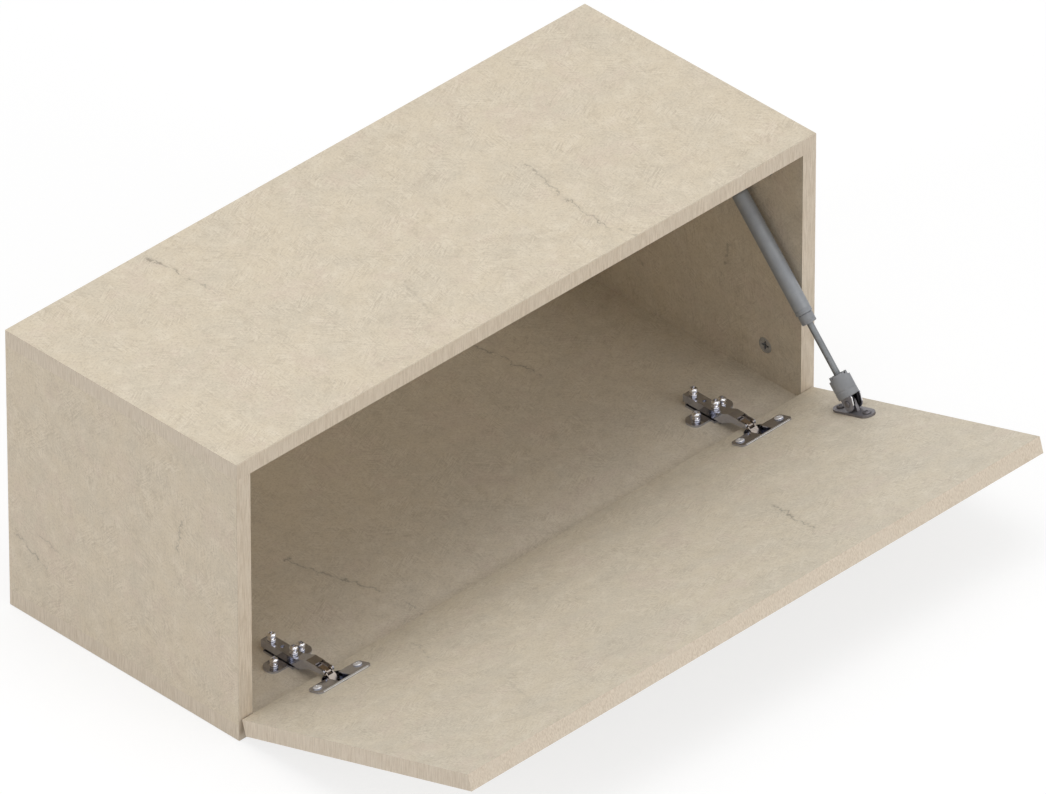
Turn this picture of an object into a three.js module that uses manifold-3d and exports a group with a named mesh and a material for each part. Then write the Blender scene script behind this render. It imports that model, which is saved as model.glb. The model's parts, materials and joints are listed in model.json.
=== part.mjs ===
// Small wall cabinet with a drop-down flap: a board carcass, two concealed cup hinges on the
// bottom panel and one gas strut at the right-hand side. Modelled with the flap open.
// Millimetres. X runs along the width, +Y points to the wall, +Z is up. The origin lies on the
// wall plane, at the middle of the lower rear edge.
import * as THREE from 'three';
import { mergeVertices } from 'three/addons/utils/BufferGeometryUtils.js';
import Module from 'manifold-3d';

const manifoldLibrary = await Module();
manifoldLibrary.setup();

// ---- carcass ----
const WIDTH = 700;
const DEPTH = 282;
const HEIGHT = 288;
const BOARD = 16;
const BACK_THICKNESS = 3;
const BACK_SETBACK = 12;
const GROOVE_DEPTH = 8;
const GAP = 0.3;
// How far a cutting tool reaches past the face that it cuts.
const PAST = 1;
const CURVE_STEPS = 5;

// ---- cam fittings ----
const CAM_DIAMETER = 15;
const CAM_DEPTH = 12.5;
const CAM_SETBACK = 44;
const CAM_TO_JOINT = 34;
const CAM_RECESS_DEPTH = 2.5;
const CAM_RECESS_WIDTH = 2;
const CAM_RECESS_LENGTH = 8.5;
const CAM_SIDES = 16;
const BOLT_THREAD_DIAMETER = 6;
const BOLT_THREAD_LENGTH = 11;
const BOLT_SHAFT_DIAMETER = 5;
const BOLT_HEAD_DIAMETER = 7;
const BOLT_HEAD_LENGTH = 4;

// ---- flap ----
const FLAP_EDGE_GAP = 1.5;
const FLAP_SIDE_GAP = 2.5;
const FLAP_BUFFER_GAP = 2;
const FLAP_BOARD = 16;
const FLAP_OPENING = THREE.MathUtils.degToRad(72.9);

// ---- hinges: pivots of the arm as [depth from the front, height], of the cup as [along, above] ----
const LEFT_HINGE_X = -253.5;
const RIGHT_HINGE_X = 260.5;
const ARM_INNER_PIVOT = [8, 28.9];
const ARM_OUTER_PIVOT = [-9.2, 29.75];
const CUP_INNER_PIVOT = [10.6, -2.6];
const CUP_OUTER_PIVOT = [16, -5.65];
const INNER_LINK_SWING = THREE.MathUtils.degToRad(35);
const PIN_DIAMETER = 3;
const EYE_RADIUS = 2.4;
const LINK_HALF_BREADTH = 1.7;
const INNER_LINK_THICKNESS = 4.8;
const INNER_LINK_KNEE = [17.1, -5.3];
const OUTER_LINK_SHEET = 1.2;
const OUTER_LINK_HALF_BREADTH = 1.5;
const OUTER_LINK_WEB_START = 4.5;
const ARM_SHEET = 1.2;
const ARM_NOSE_RADIUS = 2.2;
const ARM_WIDTH = 11.8;
const ARM_REAR = 66;
const ARM_TOP = 26.7;
const ARM_NOSE_TOP = 32.7;
const ARM_UNDERSIDE = 19;
const FIXING_SCREW_DEPTH = 59;
const ADJUSTING_SCREW_DEPTH = 32;
const CUP_DIAMETER = 26;
const CUP_DEPTH = 12;
const CUP_CENTRE = 20;
const CUP_WALL = 0.8;
const FLANGE_LENGTH = 61.5;
const FLANGE_NEAR = 15.7;
const FLANGE_FAR = 33;
const FLANGE_SHEET = 1.5;
const FLANGE_CORNER = 4;
const FLANGE_NOTCH_FAR = 30.9;
const CUP_SCREW_SPACING = 48;
const CUP_SCREW_ALONG = 22;
const PLATE_SHEET = 2;
const PLATE_SPAN = 51;
const PLATE_WING_BREADTH = 17;
const PLATE_WING_DEPTH = 39.7;
const PLATE_SPINE_FRONT = 22;
const PLATE_SCREW_SPACING = 32;
const SCREW_SHANK_DIAMETER = 5;
const SCREW_PROUD = 8;
// Heads as [radius beyond the shank, share of the standing height].
const PROUD_HEAD = [[1.2, 0.2], [-0.3, 0.25], [-0.3, 0.48], [1.5, 0.54], [1.5, 0.78], [0.7, 0.95]];
const CROWN_HEAD = [[2, 0.7], [0.6, 1.5]];
const CROWN_HEIGHT = 1.8;
const COLLAR_EXTRA = 1.2;
const SIGHT_HOLE_DIAMETER = 3.6;
const SPINE_CLEARANCE = 0.5;
const SKIRT_EXTRA = 3;
const SKIRT_INSET = 4;
const NOTCH_CLEARANCE = 0.8;
const WOOD_SCREW_LENGTH = 11;

// ---- gas strut: its ends as [depth from the front, height] and, on the flap, [along, above] ----
const STRUT_INSET = 11.5;
const STRUT_TOP_PIVOT = [76, 219];
const STRUT_FLAP_PIVOT = [78.5, 10];
const STRUT_END_BUFFER = 0.6;
const TUBE_DIAMETER = 15.4;
const TUBE_BORE = 13;
const END_CAP_DIAMETER = 13.8;
const END_CAP_LENGTH = 12;
const ROD_DIAMETER = 6;
const PISTON_DIAMETER = 12.4;
const PISTON_LENGTH = 6;
const SOCKET_DIAMETER = 20;
const SOCKET_RIM = 27;
const SOCKET_FLOOR = 9.7;
const SOCKET_CROTCH = 5.4;
const SOCKET_PRONG_RADIUS = 6.4;
const SOCKET_PRONG_SPREAD = 12;
const CASTELLATION_COUNT = 6;
const CASTELLATION_DEPTH = 2.4;
const TONGUE_THICKNESS = 3;
const TONGUE_RADIUS = 4.4;
const STRUT_PIN_DIAMETER = 4;
const UPPER_EYE_RADIUS = 7;
const UPPER_EYE_THICKNESS = 10;
const UPPER_NECK_LENGTH = 15;
const STUD_DIAMETER = 8;
const STUD_FREE_GAP = 0.8;
const CASTELLATION_HALF_WIDTH = 1.4;
const TUBE_LIP = 3;
const PIN_HEAD_EXTRA = 1.2;
const BRACKET_SHEET = 2;
const BRACKET_LENGTH = 47;
const BRACKET_BREADTH = 16;
const BRACKET_SCREW_SPACING = 33;

// ---- wall hangers ----
const HANGER_WIDTH = 17;
const HANGER_DEPTH = 20;
const HANGER_HEIGHT = 44;
const HANGER_DROP = 10;
const HOOK_WIDTH = 10;
const HOOK_SHEET = 2;
const HOOK_REACH = 9;
const HANGER_CORNER = 3;
const HANGER_WELL_DIAMETER = 5;
const HANGER_WELL_INSET = 9;

// ---- worked-out places ----
const INSIDE_X = WIDTH / 2 - BOARD;
const CEILING = HEIGHT - BOARD;
const BACK_FRONT = DEPTH - BACK_SETBACK - BACK_THICKNESS;
const BACK_REAR = DEPTH - BACK_SETBACK;
const FLAP_LENGTH = HEIGHT - 2 * FLAP_EDGE_GAP;
const FLAP_WIDTH = WIDTH - 2 * FLAP_SIDE_GAP;
const STRUT_X = INSIDE_X - STRUT_INSET;

// ---- materials ----
const finish = (color, roughness, metalness) => () =>
  new THREE.MeshStandardMaterial({ color, roughness, metalness });
const laminate = finish(0xcbbb9f, 0.7, 0);
const backboard = finish(0xc4b498, 0.8, 0);
const chrome = finish(0xc9ccd2, 0.2, 1);
const zinc = finish(0x8d8f94, 0.4, 1);
const strutGrey = finish(0x84888c, 0.55, 0.2);
const darkSteel = finish(0x3a3b40, 0.4, 0.8);
const nylon = finish(0xd8d8d4, 0.6, 0);

// ---- solids ----
function toSolid(geometry) {
  const bare = geometry.clone();
  bare.deleteAttribute('normal');
  bare.deleteAttribute('uv');
  const merged = mergeVertices(bare, 1e-4);
  return new manifoldLibrary.Manifold(new manifoldLibrary.Mesh({
    numProp: 3,
    vertProperties: Float32Array.from(merged.attributes.position.array),
    triVerts: Uint32Array.from(merged.index.array),
  }));
}

function toGeometry(solid) {
  const mesh = solid.getMesh();
  const geometry = new THREE.BufferGeometry();
  geometry.setAttribute('position', new THREE.BufferAttribute(mesh.vertProperties, 3));
  geometry.setIndex(new THREE.BufferAttribute(mesh.triVerts, 1));
  return geometry;
}

function cut(body, ...tools) {
  let solid = toSolid(body);
  for (const tool of tools) {
    solid = solid.subtract(toSolid(tool));
  }
  return toGeometry(solid);
}

function join(body, ...others) {
  let solid = toSolid(body);
  for (const other of others) {
    solid = solid.add(toSolid(other));
  }
  return toGeometry(solid);
}

const inOrder = (a, b) => (a < b ? [a, b] : [b, a]);

function block(x0, x1, y0, y1, z0, z1) {
  const geometry = new THREE.BoxGeometry(x1 - x0, y1 - y0, z1 - z0);
  return geometry.translate((x0 + x1) / 2, (y0 + y1) / 2, (z0 + z1) / 2);
}

// A round bar along X, centred on [y, z].
function barX(diameter, x0, x1, [y, z], sides = 12) {
  const geometry = new THREE.CylinderGeometry(diameter / 2, diameter / 2, x1 - x0, sides);
  return geometry.rotateZ(Math.PI / 2).translate((x0 + x1) / 2, y, z);
}

// A round bar along Z, centred on [x, y].
function barZ(diameter, z0, z1, [x, y], sides = 12) {
  const geometry = new THREE.CylinderGeometry(diameter / 2, diameter / 2, z1 - z0, sides);
  return geometry.rotateX(Math.PI / 2).translate(x, y, (z0 + z1) / 2);
}

// A round bar along Y, centred on [x, z].
function barY(diameter, y0, y1, [x, z], sides = 12) {
  const geometry = new THREE.CylinderGeometry(diameter / 2, diameter / 2, y1 - y0, sides);
  return geometry.translate(x, (y0 + y1) / 2, z);
}

function extrude(shape, depth) {
  return new THREE.ExtrudeGeometry(shape, { depth, bevelEnabled: false, curveSegments: CURVE_STEPS });
}

// A profile drawn in the Y-Z plane and given a thickness along X.
function sideProfile(shape, x0, x1) {
  const geometry = extrude(shape, x1 - x0);
  const yAxis = new THREE.Vector3(0, 1, 0);
  const zAxis = new THREE.Vector3(0, 0, 1);
  const xAxis = new THREE.Vector3(1, 0, 0);
  geometry.applyMatrix4(new THREE.Matrix4().makeBasis(yAxis, zAxis, xAxis));
  return geometry.translate(x0, 0, 0);
}

// An outline drawn in the X-Z plane of the flap and given a thickness along Y.
function flapProfile(shape, y0, y1) {
  const geometry = extrude(shape, y1 - y0);
  return geometry.rotateX(Math.PI / 2).translate(0, y1, 0);
}

function polygon(points) {
  return new THREE.Shape(points.map(([x, y]) => new THREE.Vector2(x, y)));
}

function roundedRectangle(x0, x1, y0, y1, radius) {
  const shape = new THREE.Shape();
  shape.moveTo(x0 + radius, y0);
  shape.lineTo(x1 - radius, y0);
  shape.absarc(x1 - radius, y0 + radius, radius, -Math.PI / 2, 0);
  shape.lineTo(x1, y1 - radius);
  shape.absarc(x1 - radius, y1 - radius, radius, 0, Math.PI / 2);
  shape.lineTo(x0 + radius, y1);
  shape.absarc(x0 + radius, y1 - radius, radius, Math.PI / 2, Math.PI);
  shape.lineTo(x0, y0 + radius);
  shape.absarc(x0 + radius, y0 + radius, radius, Math.PI, Math.PI * 1.5);
  return shape;
}

// A strip with round ends between two points.
function strip([ax, ay], [bx, by], halfBreadth) {
  const angle = Math.atan2(by - ay, bx - ax);
  const shape = new THREE.Shape();
  shape.absarc(ax, ay, halfBreadth, angle + Math.PI / 2, angle + Math.PI * 1.5);
  shape.absarc(bx, by, halfBreadth, angle - Math.PI / 2, angle + Math.PI / 2);
  return shape;
}

function disc([x, y], radius) {
  const shape = new THREE.Shape();
  shape.absarc(x, y, radius, 0, Math.PI * 2);
  return shape;
}

// A turned piece on the Z axis, from [radius, height] points.
function turned(points, sides = 12) {
  const profile = points.map(([radius, height]) => new THREE.Vector2(radius, height));
  return new THREE.LatheGeometry(profile, sides).rotateX(Math.PI / 2);
}

function piece(name, geometry, material) {
  const mesh = new THREE.Mesh(geometry, material());
  mesh.name = name;
  return mesh;
}

// ---- places that move with the flap ----
const turn = ([y, z], angle) => [
  y * Math.cos(angle) - z * Math.sin(angle),
  y * Math.sin(angle) + z * Math.cos(angle),
];
const plus = ([a, b], [c, d]) => [a + c, b + d];
const minus = ([a, b], [c, d]) => [a - c, b - d];
const angleOf = ([y, z]) => Math.atan2(z, y);
const lengthOf = ([y, z]) => Math.hypot(y, z);

// The flap's own frame: X along the width, Y above its inner face, Z along it from the hinged edge.
const onFlap = ([along, above]) => [above, along];
const CLOSED_FLAP = [-FLAP_BUFFER_GAP, FLAP_EDGE_GAP];
const innerPivotClosed = plus(CLOSED_FLAP, onFlap(CUP_INNER_PIVOT));
const innerLinkClosed = minus(innerPivotClosed, ARM_INNER_PIVOT);
const innerPivotOpen = plus(ARM_INNER_PIVOT, turn(innerLinkClosed, -INNER_LINK_SWING));
const OPEN_FLAP = minus(innerPivotOpen, turn(onFlap(CUP_INNER_PIVOT), FLAP_OPENING));
const openPlace = (place) => plus(OPEN_FLAP, turn(onFlap(place), FLAP_OPENING));

// ---- carcass panels ----
const WING_SCREW_X = PLATE_SCREW_SPACING / 2;
const FLAT_SCREW_DIAMETER = SCREW_SHANK_DIAMETER - 1;
const FLAT_SCREW_HOLE = FLAT_SCREW_DIAMETER + 2 * GAP;
const GROOVE_X = INSIDE_X + GROOVE_DEPTH;
const BOARD_MIDDLE_X = WIDTH / 2 - BOARD / 2;

function grooveRound(x0, x1, z0, z1) {
  return block(x0, x1, BACK_FRONT - GAP, BACK_REAR + GAP, z0, z1);
}

function boltPlaces() {
  const places = [];
  for (const side of [-1, 1]) {
    for (const depth of [CAM_SETBACK, DEPTH - CAM_SETBACK]) {
      places.push([side * BOARD_MIDDLE_X, depth]);
    }
  }
  return places;
}

function topPanel() {
  const tools = [grooveRound(-GROOVE_X, GROOVE_X, CEILING - PAST, CEILING + GROOVE_DEPTH)];
  for (const place of boltPlaces()) {
    const holeTop = CEILING + BOLT_THREAD_LENGTH + GAP;
    tools.push(barZ(BOLT_THREAD_DIAMETER + 2 * GAP, CEILING - PAST, holeTop, place));
  }
  return cut(block(-WIDTH / 2, WIDTH / 2, 0, DEPTH, CEILING, HEIGHT), ...tools);
}

function bottomPanel() {
  const tools = [grooveRound(-GROOVE_X, GROOVE_X, BOARD - GROOVE_DEPTH, BOARD + PAST)];
  for (const place of boltPlaces()) {
    const holeFloor = BOARD - BOLT_THREAD_LENGTH - GAP;
    tools.push(barZ(BOLT_THREAD_DIAMETER + 2 * GAP, holeFloor, BOARD + PAST, place));
  }
  for (const hingeX of [LEFT_HINGE_X, RIGHT_HINGE_X]) {
    for (const offset of [-WING_SCREW_X, WING_SCREW_X]) {
      const holeFloor = BOARD - WOOD_SCREW_LENGTH - GAP;
      const place = [hingeX + offset, PLATE_WING_DEPTH];
      tools.push(barZ(SCREW_SHANK_DIAMETER + 2 * GAP, holeFloor, BOARD + PAST, place));
    }
  }
  return cut(block(-WIDTH / 2, WIDTH / 2, 0, DEPTH, 0, BOARD), ...tools);
}

function sidePanel(side) {
  const near = side * INSIDE_X;
  const far = side * WIDTH / 2;
  const inner = near - side * PAST;
  const groove = side * GROOVE_X;
  const [grooveX0, grooveX1] = inOrder(inner, groove);
  const tools = [grooveRound(grooveX0, grooveX1, BOARD - PAST, CEILING + PAST)];
  for (const depth of [CAM_SETBACK, DEPTH - CAM_SETBACK]) {
    for (const [joint, up] of [[BOARD, 1], [CEILING, -1]]) {
      const centre = joint + up * CAM_TO_JOINT;
      const [camX0, camX1] = inOrder(inner, near + side * (CAM_DEPTH + GAP));
      tools.push(barX(CAM_DIAMETER + 2 * GAP, camX0, camX1, [depth, centre], CAM_SIDES));
      const [boltZ0, boltZ1] = inOrder(joint - up * PAST, centre);
      tools.push(barZ(BOLT_HEAD_DIAMETER + 2 * GAP, boltZ0, boltZ1, [side * BOARD_MIDDLE_X, depth]));
    }
  }
  if (side > 0) {
    for (const place of sideBracketScrewPlaces()) {
      const holeEnd = near + WOOD_SCREW_LENGTH + GAP;
      tools.push(barX(SCREW_SHANK_DIAMETER + 2 * GAP, near - PAST, holeEnd, place));
    }
  }
  const [x0, x1] = inOrder(near, far);
  return cut(block(x0, x1, 0, DEPTH, BOARD, CEILING), ...tools);
}

function hangerBottom() {
  return CEILING - HANGER_DROP - HANGER_HEIGHT;
}

function backPanel() {
  const reach = GROOVE_DEPTH - GAP;
  const halfWidth = INSIDE_X + reach;
  const board = block(-halfWidth, halfWidth, BACK_FRONT, BACK_REAR, BOARD - reach, CEILING + reach);
  const middle = hangerBottom() + HANGER_HEIGHT / 2;
  const notches = [-1, 1].map((side) => {
    const centre = side * (INSIDE_X - HANGER_WIDTH / 2);
    const halfNotch = HOOK_WIDTH / 2 + PAST;
    return block(centre - halfNotch, centre + halfNotch, BACK_FRONT - PAST, BACK_REAR + PAST,
      middle - HOOK_WIDTH, middle + HOOK_WIDTH / 2);
  });
  return cut(board, ...notches);
}

// ---- cam fittings ----
function camDisc(side, depth, centre, towardsJoint) {
  const face = side * (INSIDE_X + GAP);
  const floor = side * (INSIDE_X + CAM_DEPTH);
  const body = barX(CAM_DIAMETER, ...inOrder(face, floor), [depth, centre], CAM_SIDES);
  const [x0, x1] = inOrder(face + side * CAM_RECESS_DEPTH, face - side * PAST);
  const long = CAM_RECESS_LENGTH / 2;
  const short = CAM_RECESS_WIDTH / 2;
  const slotEnd = centre + towardsJoint * CAM_DIAMETER;
  const headPlace = [side * BOARD_MIDDLE_X, depth];
  const headSlot = barZ(BOLT_HEAD_DIAMETER + 2 * GAP, ...inOrder(centre, slotEnd), headPlace);
  return cut(body,
    block(x0, x1, depth - long, depth + long, centre - short, centre + short),
    block(x0, x1, depth - short, depth + short, centre - long, centre + long),
    headSlot);
}

function camBolt(side, depth, joint, up) {
  const headTop = CAM_TO_JOINT - 2 * GAP;
  const neck = headTop - BOLT_HEAD_LENGTH;
  const bolt = turned([
    [0, -BOLT_THREAD_LENGTH],
    [BOLT_THREAD_DIAMETER / 2, 1 - BOLT_THREAD_LENGTH],
    [BOLT_THREAD_DIAMETER / 2, 0],
    [BOLT_SHAFT_DIAMETER / 2, 0],
    [BOLT_SHAFT_DIAMETER / 2, neck],
    [BOLT_HEAD_DIAMETER / 2, neck],
    [BOLT_HEAD_DIAMETER / 2, headTop - 1],
    [BOLT_HEAD_DIAMETER / 2 - 1, headTop],
    [0, headTop],
  ], 8);
  if (up < 0) {
    bolt.rotateX(Math.PI);
  }
  return bolt.translate(side * BOARD_MIDDLE_X, depth, joint);
}

function addCamFittings(parent) {
  for (const [sideName, side] of [['left', -1], ['right', 1]]) {
    for (const [levelName, joint, up] of [['lower', BOARD, 1], ['upper', CEILING, -1]]) {
      for (const [endName, depth] of [['front', CAM_SETBACK], ['rear', DEPTH - CAM_SETBACK]]) {
        const place = `${sideName}_${levelName}_${endName}`;
        const centre = joint + up * CAM_TO_JOINT;
        parent.add(piece(`cam_${place}`, camDisc(side, depth, centre, -up), zinc));
        parent.add(piece(`cam_bolt_${place}`, camBolt(side, depth, joint, up), zinc));
      }
    }
  }
}

// ---- screws ----
// A screw with a collar and a domed head that stands proud of what it clamps, at height zero.
function proudScrew(shankLength) {
  const shank = SCREW_SHANK_DIAMETER / 2;
  return turned([
    [0, -shankLength],
    [shank - 0.8, -shankLength],
    [shank, 1 - shankLength],
    [shank, GAP / 2],
    [shank + COLLAR_EXTRA, GAP / 2],
    ...PROUD_HEAD.map(([extra, share]) => [shank + extra, SCREW_PROUD * share]),
    [0, SCREW_PROUD],
  ], 10);
}

// A flat screw whose head has a shallow crown, standing on height zero.
function crownScrew(shankLength) {
  const shank = SCREW_SHANK_DIAMETER / 2 - 0.5;
  return turned([
    [0, -shankLength],
    [shank, 1 - shankLength],
    [shank, GAP / 2],
    [shank + CROWN_HEAD[0][0], GAP / 2],
    ...CROWN_HEAD.map(([extra, height]) => [shank + extra, height]),
    [0, CROWN_HEIGHT],
  ], 12);
}

// ---- hinge pieces fixed to the bottom panel ----
function mountingPlate() {
  const halfSpan = PLATE_SPAN / 2;
  const halfBreadth = PLATE_WING_BREADTH / 2;
  const wingFront = PLATE_WING_DEPTH - halfBreadth;
  const wingRear = PLATE_WING_DEPTH + halfBreadth;
  const wingRadius = halfBreadth - 1;
  const wings = new THREE.ExtrudeGeometry(
    roundedRectangle(-halfSpan, halfSpan, wingFront, wingRear, wingRadius),
    { depth: PLATE_SHEET, bevelEnabled: false, curveSegments: 4 });
  const spineHalf = ARM_WIDTH / 2 - ARM_SHEET - SPINE_CLEARANCE;
  const spineTop = ARM_TOP - ARM_SHEET - GAP - BOARD;
  const spine = block(-spineHalf, spineHalf, PLATE_SPINE_FRONT, ARM_REAR - 1, 0, spineTop);
  const skirtHalf = spineHalf + SKIRT_EXTRA;
  const skirtFront = PLATE_SPINE_FRONT + SKIRT_INSET;
  const skirt = block(-skirtHalf, skirtHalf, skirtFront, ARM_REAR - SKIRT_INSET, 0, PLATE_SHEET);
  const holes = [-WING_SCREW_X, WING_SCREW_X].map((x) =>
    barZ(SCREW_SHANK_DIAMETER + 2 * GAP, -PAST, PLATE_SHEET + PAST, [x, PLATE_WING_DEPTH]));
  for (const depth of [FIXING_SCREW_DEPTH, ADJUSTING_SCREW_DEPTH]) {
    holes.push(barZ(SCREW_SHANK_DIAMETER + 2 * GAP, PLATE_SHEET, spineTop + PAST, [0, depth]));
  }
  return cut(join(wings, spine, skirt), ...holes).translate(0, 0, BOARD);
}

function hingeArm() {
  const half = ARM_WIDTH / 2;
  const inner = half - ARM_SHEET;
  const [noseY, noseZ] = ARM_OUTER_PIVOT;
  const outline = new THREE.Shape();
  outline.moveTo(ARM_REAR, ARM_UNDERSIDE);
  outline.lineTo(ARM_REAR, ARM_TOP);
  outline.lineTo(PLATE_SPINE_FRONT + 4, ARM_TOP);
  outline.lineTo(ARM_INNER_PIVOT[0] + 3, ARM_NOSE_TOP);
  outline.lineTo(1, ARM_NOSE_TOP);
  outline.lineTo(-1.5, noseZ + ARM_NOSE_RADIUS);
  outline.lineTo(noseY, noseZ + ARM_NOSE_RADIUS);
  outline.absarc(noseY, noseZ, ARM_NOSE_RADIUS, Math.PI / 2, Math.PI * 1.5);
  outline.lineTo(ARM_INNER_PIVOT[0] - 1, ARM_INNER_PIVOT[1] - 3);
  outline.lineTo(PLATE_SPINE_FRONT - 6, ARM_UNDERSIDE + 1.5);
  outline.lineTo(PLATE_SPINE_FRONT, ARM_UNDERSIDE);
  const channel = polygon([
    [noseY - 9, 0],
    [noseY - 9, ARM_NOSE_TOP + 9],
    [1.2, ARM_NOSE_TOP + 9],
    [1.2, ARM_NOSE_TOP - ARM_SHEET],
    [ARM_INNER_PIVOT[0] + 2.6, ARM_NOSE_TOP - ARM_SHEET],
    [PLATE_SPINE_FRONT + 3.6, ARM_TOP - ARM_SHEET],
    [ARM_REAR + 5, ARM_TOP - ARM_SHEET],
    [ARM_REAR + 5, 0],
  ]);
  const holes = [FIXING_SCREW_DEPTH, ADJUSTING_SCREW_DEPTH].map((depth) =>
    barZ(SCREW_SHANK_DIAMETER + 2 * GAP, ARM_TOP - 3, ARM_TOP + PAST, [0, depth]));
  const sightDepth = (FIXING_SCREW_DEPTH + ADJUSTING_SCREW_DEPTH) / 2;
  holes.push(barZ(SIGHT_HOLE_DIAMETER, ARM_TOP - 3, ARM_TOP + PAST, [0, sightDepth]));
  const shell = cut(sideProfile(outline, -half, half), sideProfile(channel, -inner, inner), ...holes);
  const stub = INNER_LINK_THICKNESS / 2 + GAP;
  return join(shell,
    barX(PIN_DIAMETER, -half + 0.2, half - 0.2, ARM_INNER_PIVOT),
    barX(PIN_DIAMETER, stub, half - 0.2, ARM_OUTER_PIVOT),
    barX(PIN_DIAMETER, -half + 0.2, -stub, ARM_OUTER_PIVOT));
}

// ---- hinge links, each drawn from its arm pivot along +Y ----
function innerLink() {
  const length = lengthOf(minus(innerPivotClosed, ARM_INNER_PIVOT));
  const half = INNER_LINK_THICKNESS / 2;
  const body = join(
    sideProfile(strip([0, 0], INNER_LINK_KNEE, LINK_HALF_BREADTH), -half, half),
    sideProfile(strip(INNER_LINK_KNEE, [length, 0], LINK_HALF_BREADTH), -half, half),
    sideProfile(disc([0, 0], EYE_RADIUS), -half, half),
    sideProfile(disc([length, 0], EYE_RADIUS), -half, half));
  return cut(body,
    barX(PIN_DIAMETER + 2 * GAP, -half - 1, half + 1, [0, 0]),
    barX(PIN_DIAMETER + 2 * GAP, -half - 1, half + 1, [length, 0]));
}

const outerPivotOpen = openPlace(CUP_OUTER_PIVOT);

function outerLink() {
  const length = lengthOf(minus(outerPivotOpen, ARM_OUTER_PIVOT));
  const near = INNER_LINK_THICKNESS / 2 + 2 * GAP;
  const far = near + OUTER_LINK_SHEET;
  const web = block(-far, far, OUTER_LINK_WEB_START, length + 1, -EYE_RADIUS, OUTER_LINK_SHEET - EYE_RADIUS);
  const cheeks = [];
  for (const x0 of [near, -far]) {
    cheeks.push(sideProfile(strip([0, 0], [length, 0], OUTER_LINK_HALF_BREADTH), x0, x0 + OUTER_LINK_SHEET));
    cheeks.push(sideProfile(disc([0, 0], EYE_RADIUS), x0, x0 + OUTER_LINK_SHEET));
    cheeks.push(sideProfile(disc([length, 0], EYE_RADIUS), x0, x0 + OUTER_LINK_SHEET));
  }
  const rivets = [far - 0.3, -far - OUTER_LINK_SHEET].map((x0) =>
    barX(PIN_DIAMETER, x0, x0 + OUTER_LINK_SHEET + 0.3, [length, 0]));
  return cut(join(web, ...cheeks, ...rivets),
    barX(PIN_DIAMETER + 2 * GAP, -far - 1, far + 1, [0, 0]));
}

// ---- hinge pieces on the flap, in the flap's frame ----
function hingeCup() {
  const radius = CUP_DIAMETER / 2;
  const bowlRadius = radius - CUP_WALL;
  const rim = GAP;
  const bowl = barY(CUP_DIAMETER, -CUP_DEPTH, rim + 0.5, [0, CUP_CENTRE], 28);
  const flange = flapProfile(
    roundedRectangle(-FLANGE_LENGTH / 2, FLANGE_LENGTH / 2, FLANGE_NEAR, FLANGE_FAR, FLANGE_CORNER),
    rim, rim + FLANGE_SHEET);
  const hollow = barY(2 * bowlRadius, CUP_WALL - CUP_DEPTH, rim + 0.6, [0, CUP_CENTRE], 28);
  const notchHalf = ARM_WIDTH / 2 + NOTCH_CLEARANCE;
  const notch = block(-notchHalf, notchHalf, -0.5, rim + FLANGE_SHEET + 1, FLANGE_NEAR - 3, FLANGE_NOTCH_FAR);
  const holes = [-1, 1].map((side) =>
    barY(FLAT_SCREW_HOLE, -PAST, rim + FLANGE_SHEET + PAST, [side * CUP_SCREW_SPACING / 2, CUP_SCREW_ALONG]));
  const [pinAlong, pinAbove] = CUP_INNER_PIVOT;
  const pinReach = CUP_CENTRE - pinAlong + PIN_DIAMETER / 2;
  const pinHalf = Math.sqrt(bowlRadius ** 2 - pinReach ** 2) + CUP_WALL / 2;
  const pin = barX(PIN_DIAMETER, -pinHalf, pinHalf, [pinAbove, pinAlong]);
  return join(cut(join(bowl, flange), hollow, notch, ...holes), pin);
}

function flapBracketScrewPlaces() {
  return [-1, 1].map((end) => STRUT_FLAP_PIVOT[0] + end * BRACKET_SCREW_SPACING / 2);
}

function flapPanel() {
  const board = block(-FLAP_WIDTH / 2, FLAP_WIDTH / 2, -FLAP_BOARD, 0, 0, FLAP_LENGTH);
  const tools = [];
  for (const hingeX of [LEFT_HINGE_X, RIGHT_HINGE_X]) {
    tools.push(barY(CUP_DIAMETER + 2 * GAP, -CUP_DEPTH - GAP, 1, [hingeX, CUP_CENTRE], 28));
    for (const side of [-1, 1]) {
      const x = hingeX + side * CUP_SCREW_SPACING / 2;
      tools.push(barY(FLAT_SCREW_HOLE, -WOOD_SCREW_LENGTH - GAP, PAST, [x, CUP_SCREW_ALONG]));
    }
  }
  for (const along of flapBracketScrewPlaces()) {
    tools.push(barY(FLAT_SCREW_HOLE, -WOOD_SCREW_LENGTH - GAP, PAST, [STRUT_X, along]));
  }
  return cut(board, ...tools);
}

function flapBracket() {
  const [along, above] = STRUT_FLAP_PIVOT;
  const reach = (BRACKET_LENGTH - BRACKET_BREADTH) / 2;
  const outline = strip([0, along - reach], [0, along + reach], BRACKET_BREADTH / 2);
  const base = flapProfile(outline, GAP, GAP + BRACKET_SHEET);
  const foot = TONGUE_RADIUS + 2;
  const tongueShape = new THREE.Shape();
  tongueShape.moveTo(GAP + 1, along - foot);
  tongueShape.lineTo(above, along - TONGUE_RADIUS);
  tongueShape.absarc(above, along, TONGUE_RADIUS, -Math.PI / 2, Math.PI / 2);
  tongueShape.lineTo(GAP + 1, along + foot);
  const half = TONGUE_THICKNESS / 2;
  const holes = flapBracketScrewPlaces().map((place) =>
    barY(FLAT_SCREW_HOLE, -PAST, BRACKET_SHEET + 2 * PAST, [0, place]));
  const pinHole = barX(STRUT_PIN_DIAMETER + 2 * GAP, -half - PAST, half + PAST, [above, along]);
  return cut(join(base, sideProfile(tongueShape, -half, half)), ...holes, pinHole).translate(STRUT_X, 0, 0);
}

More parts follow.
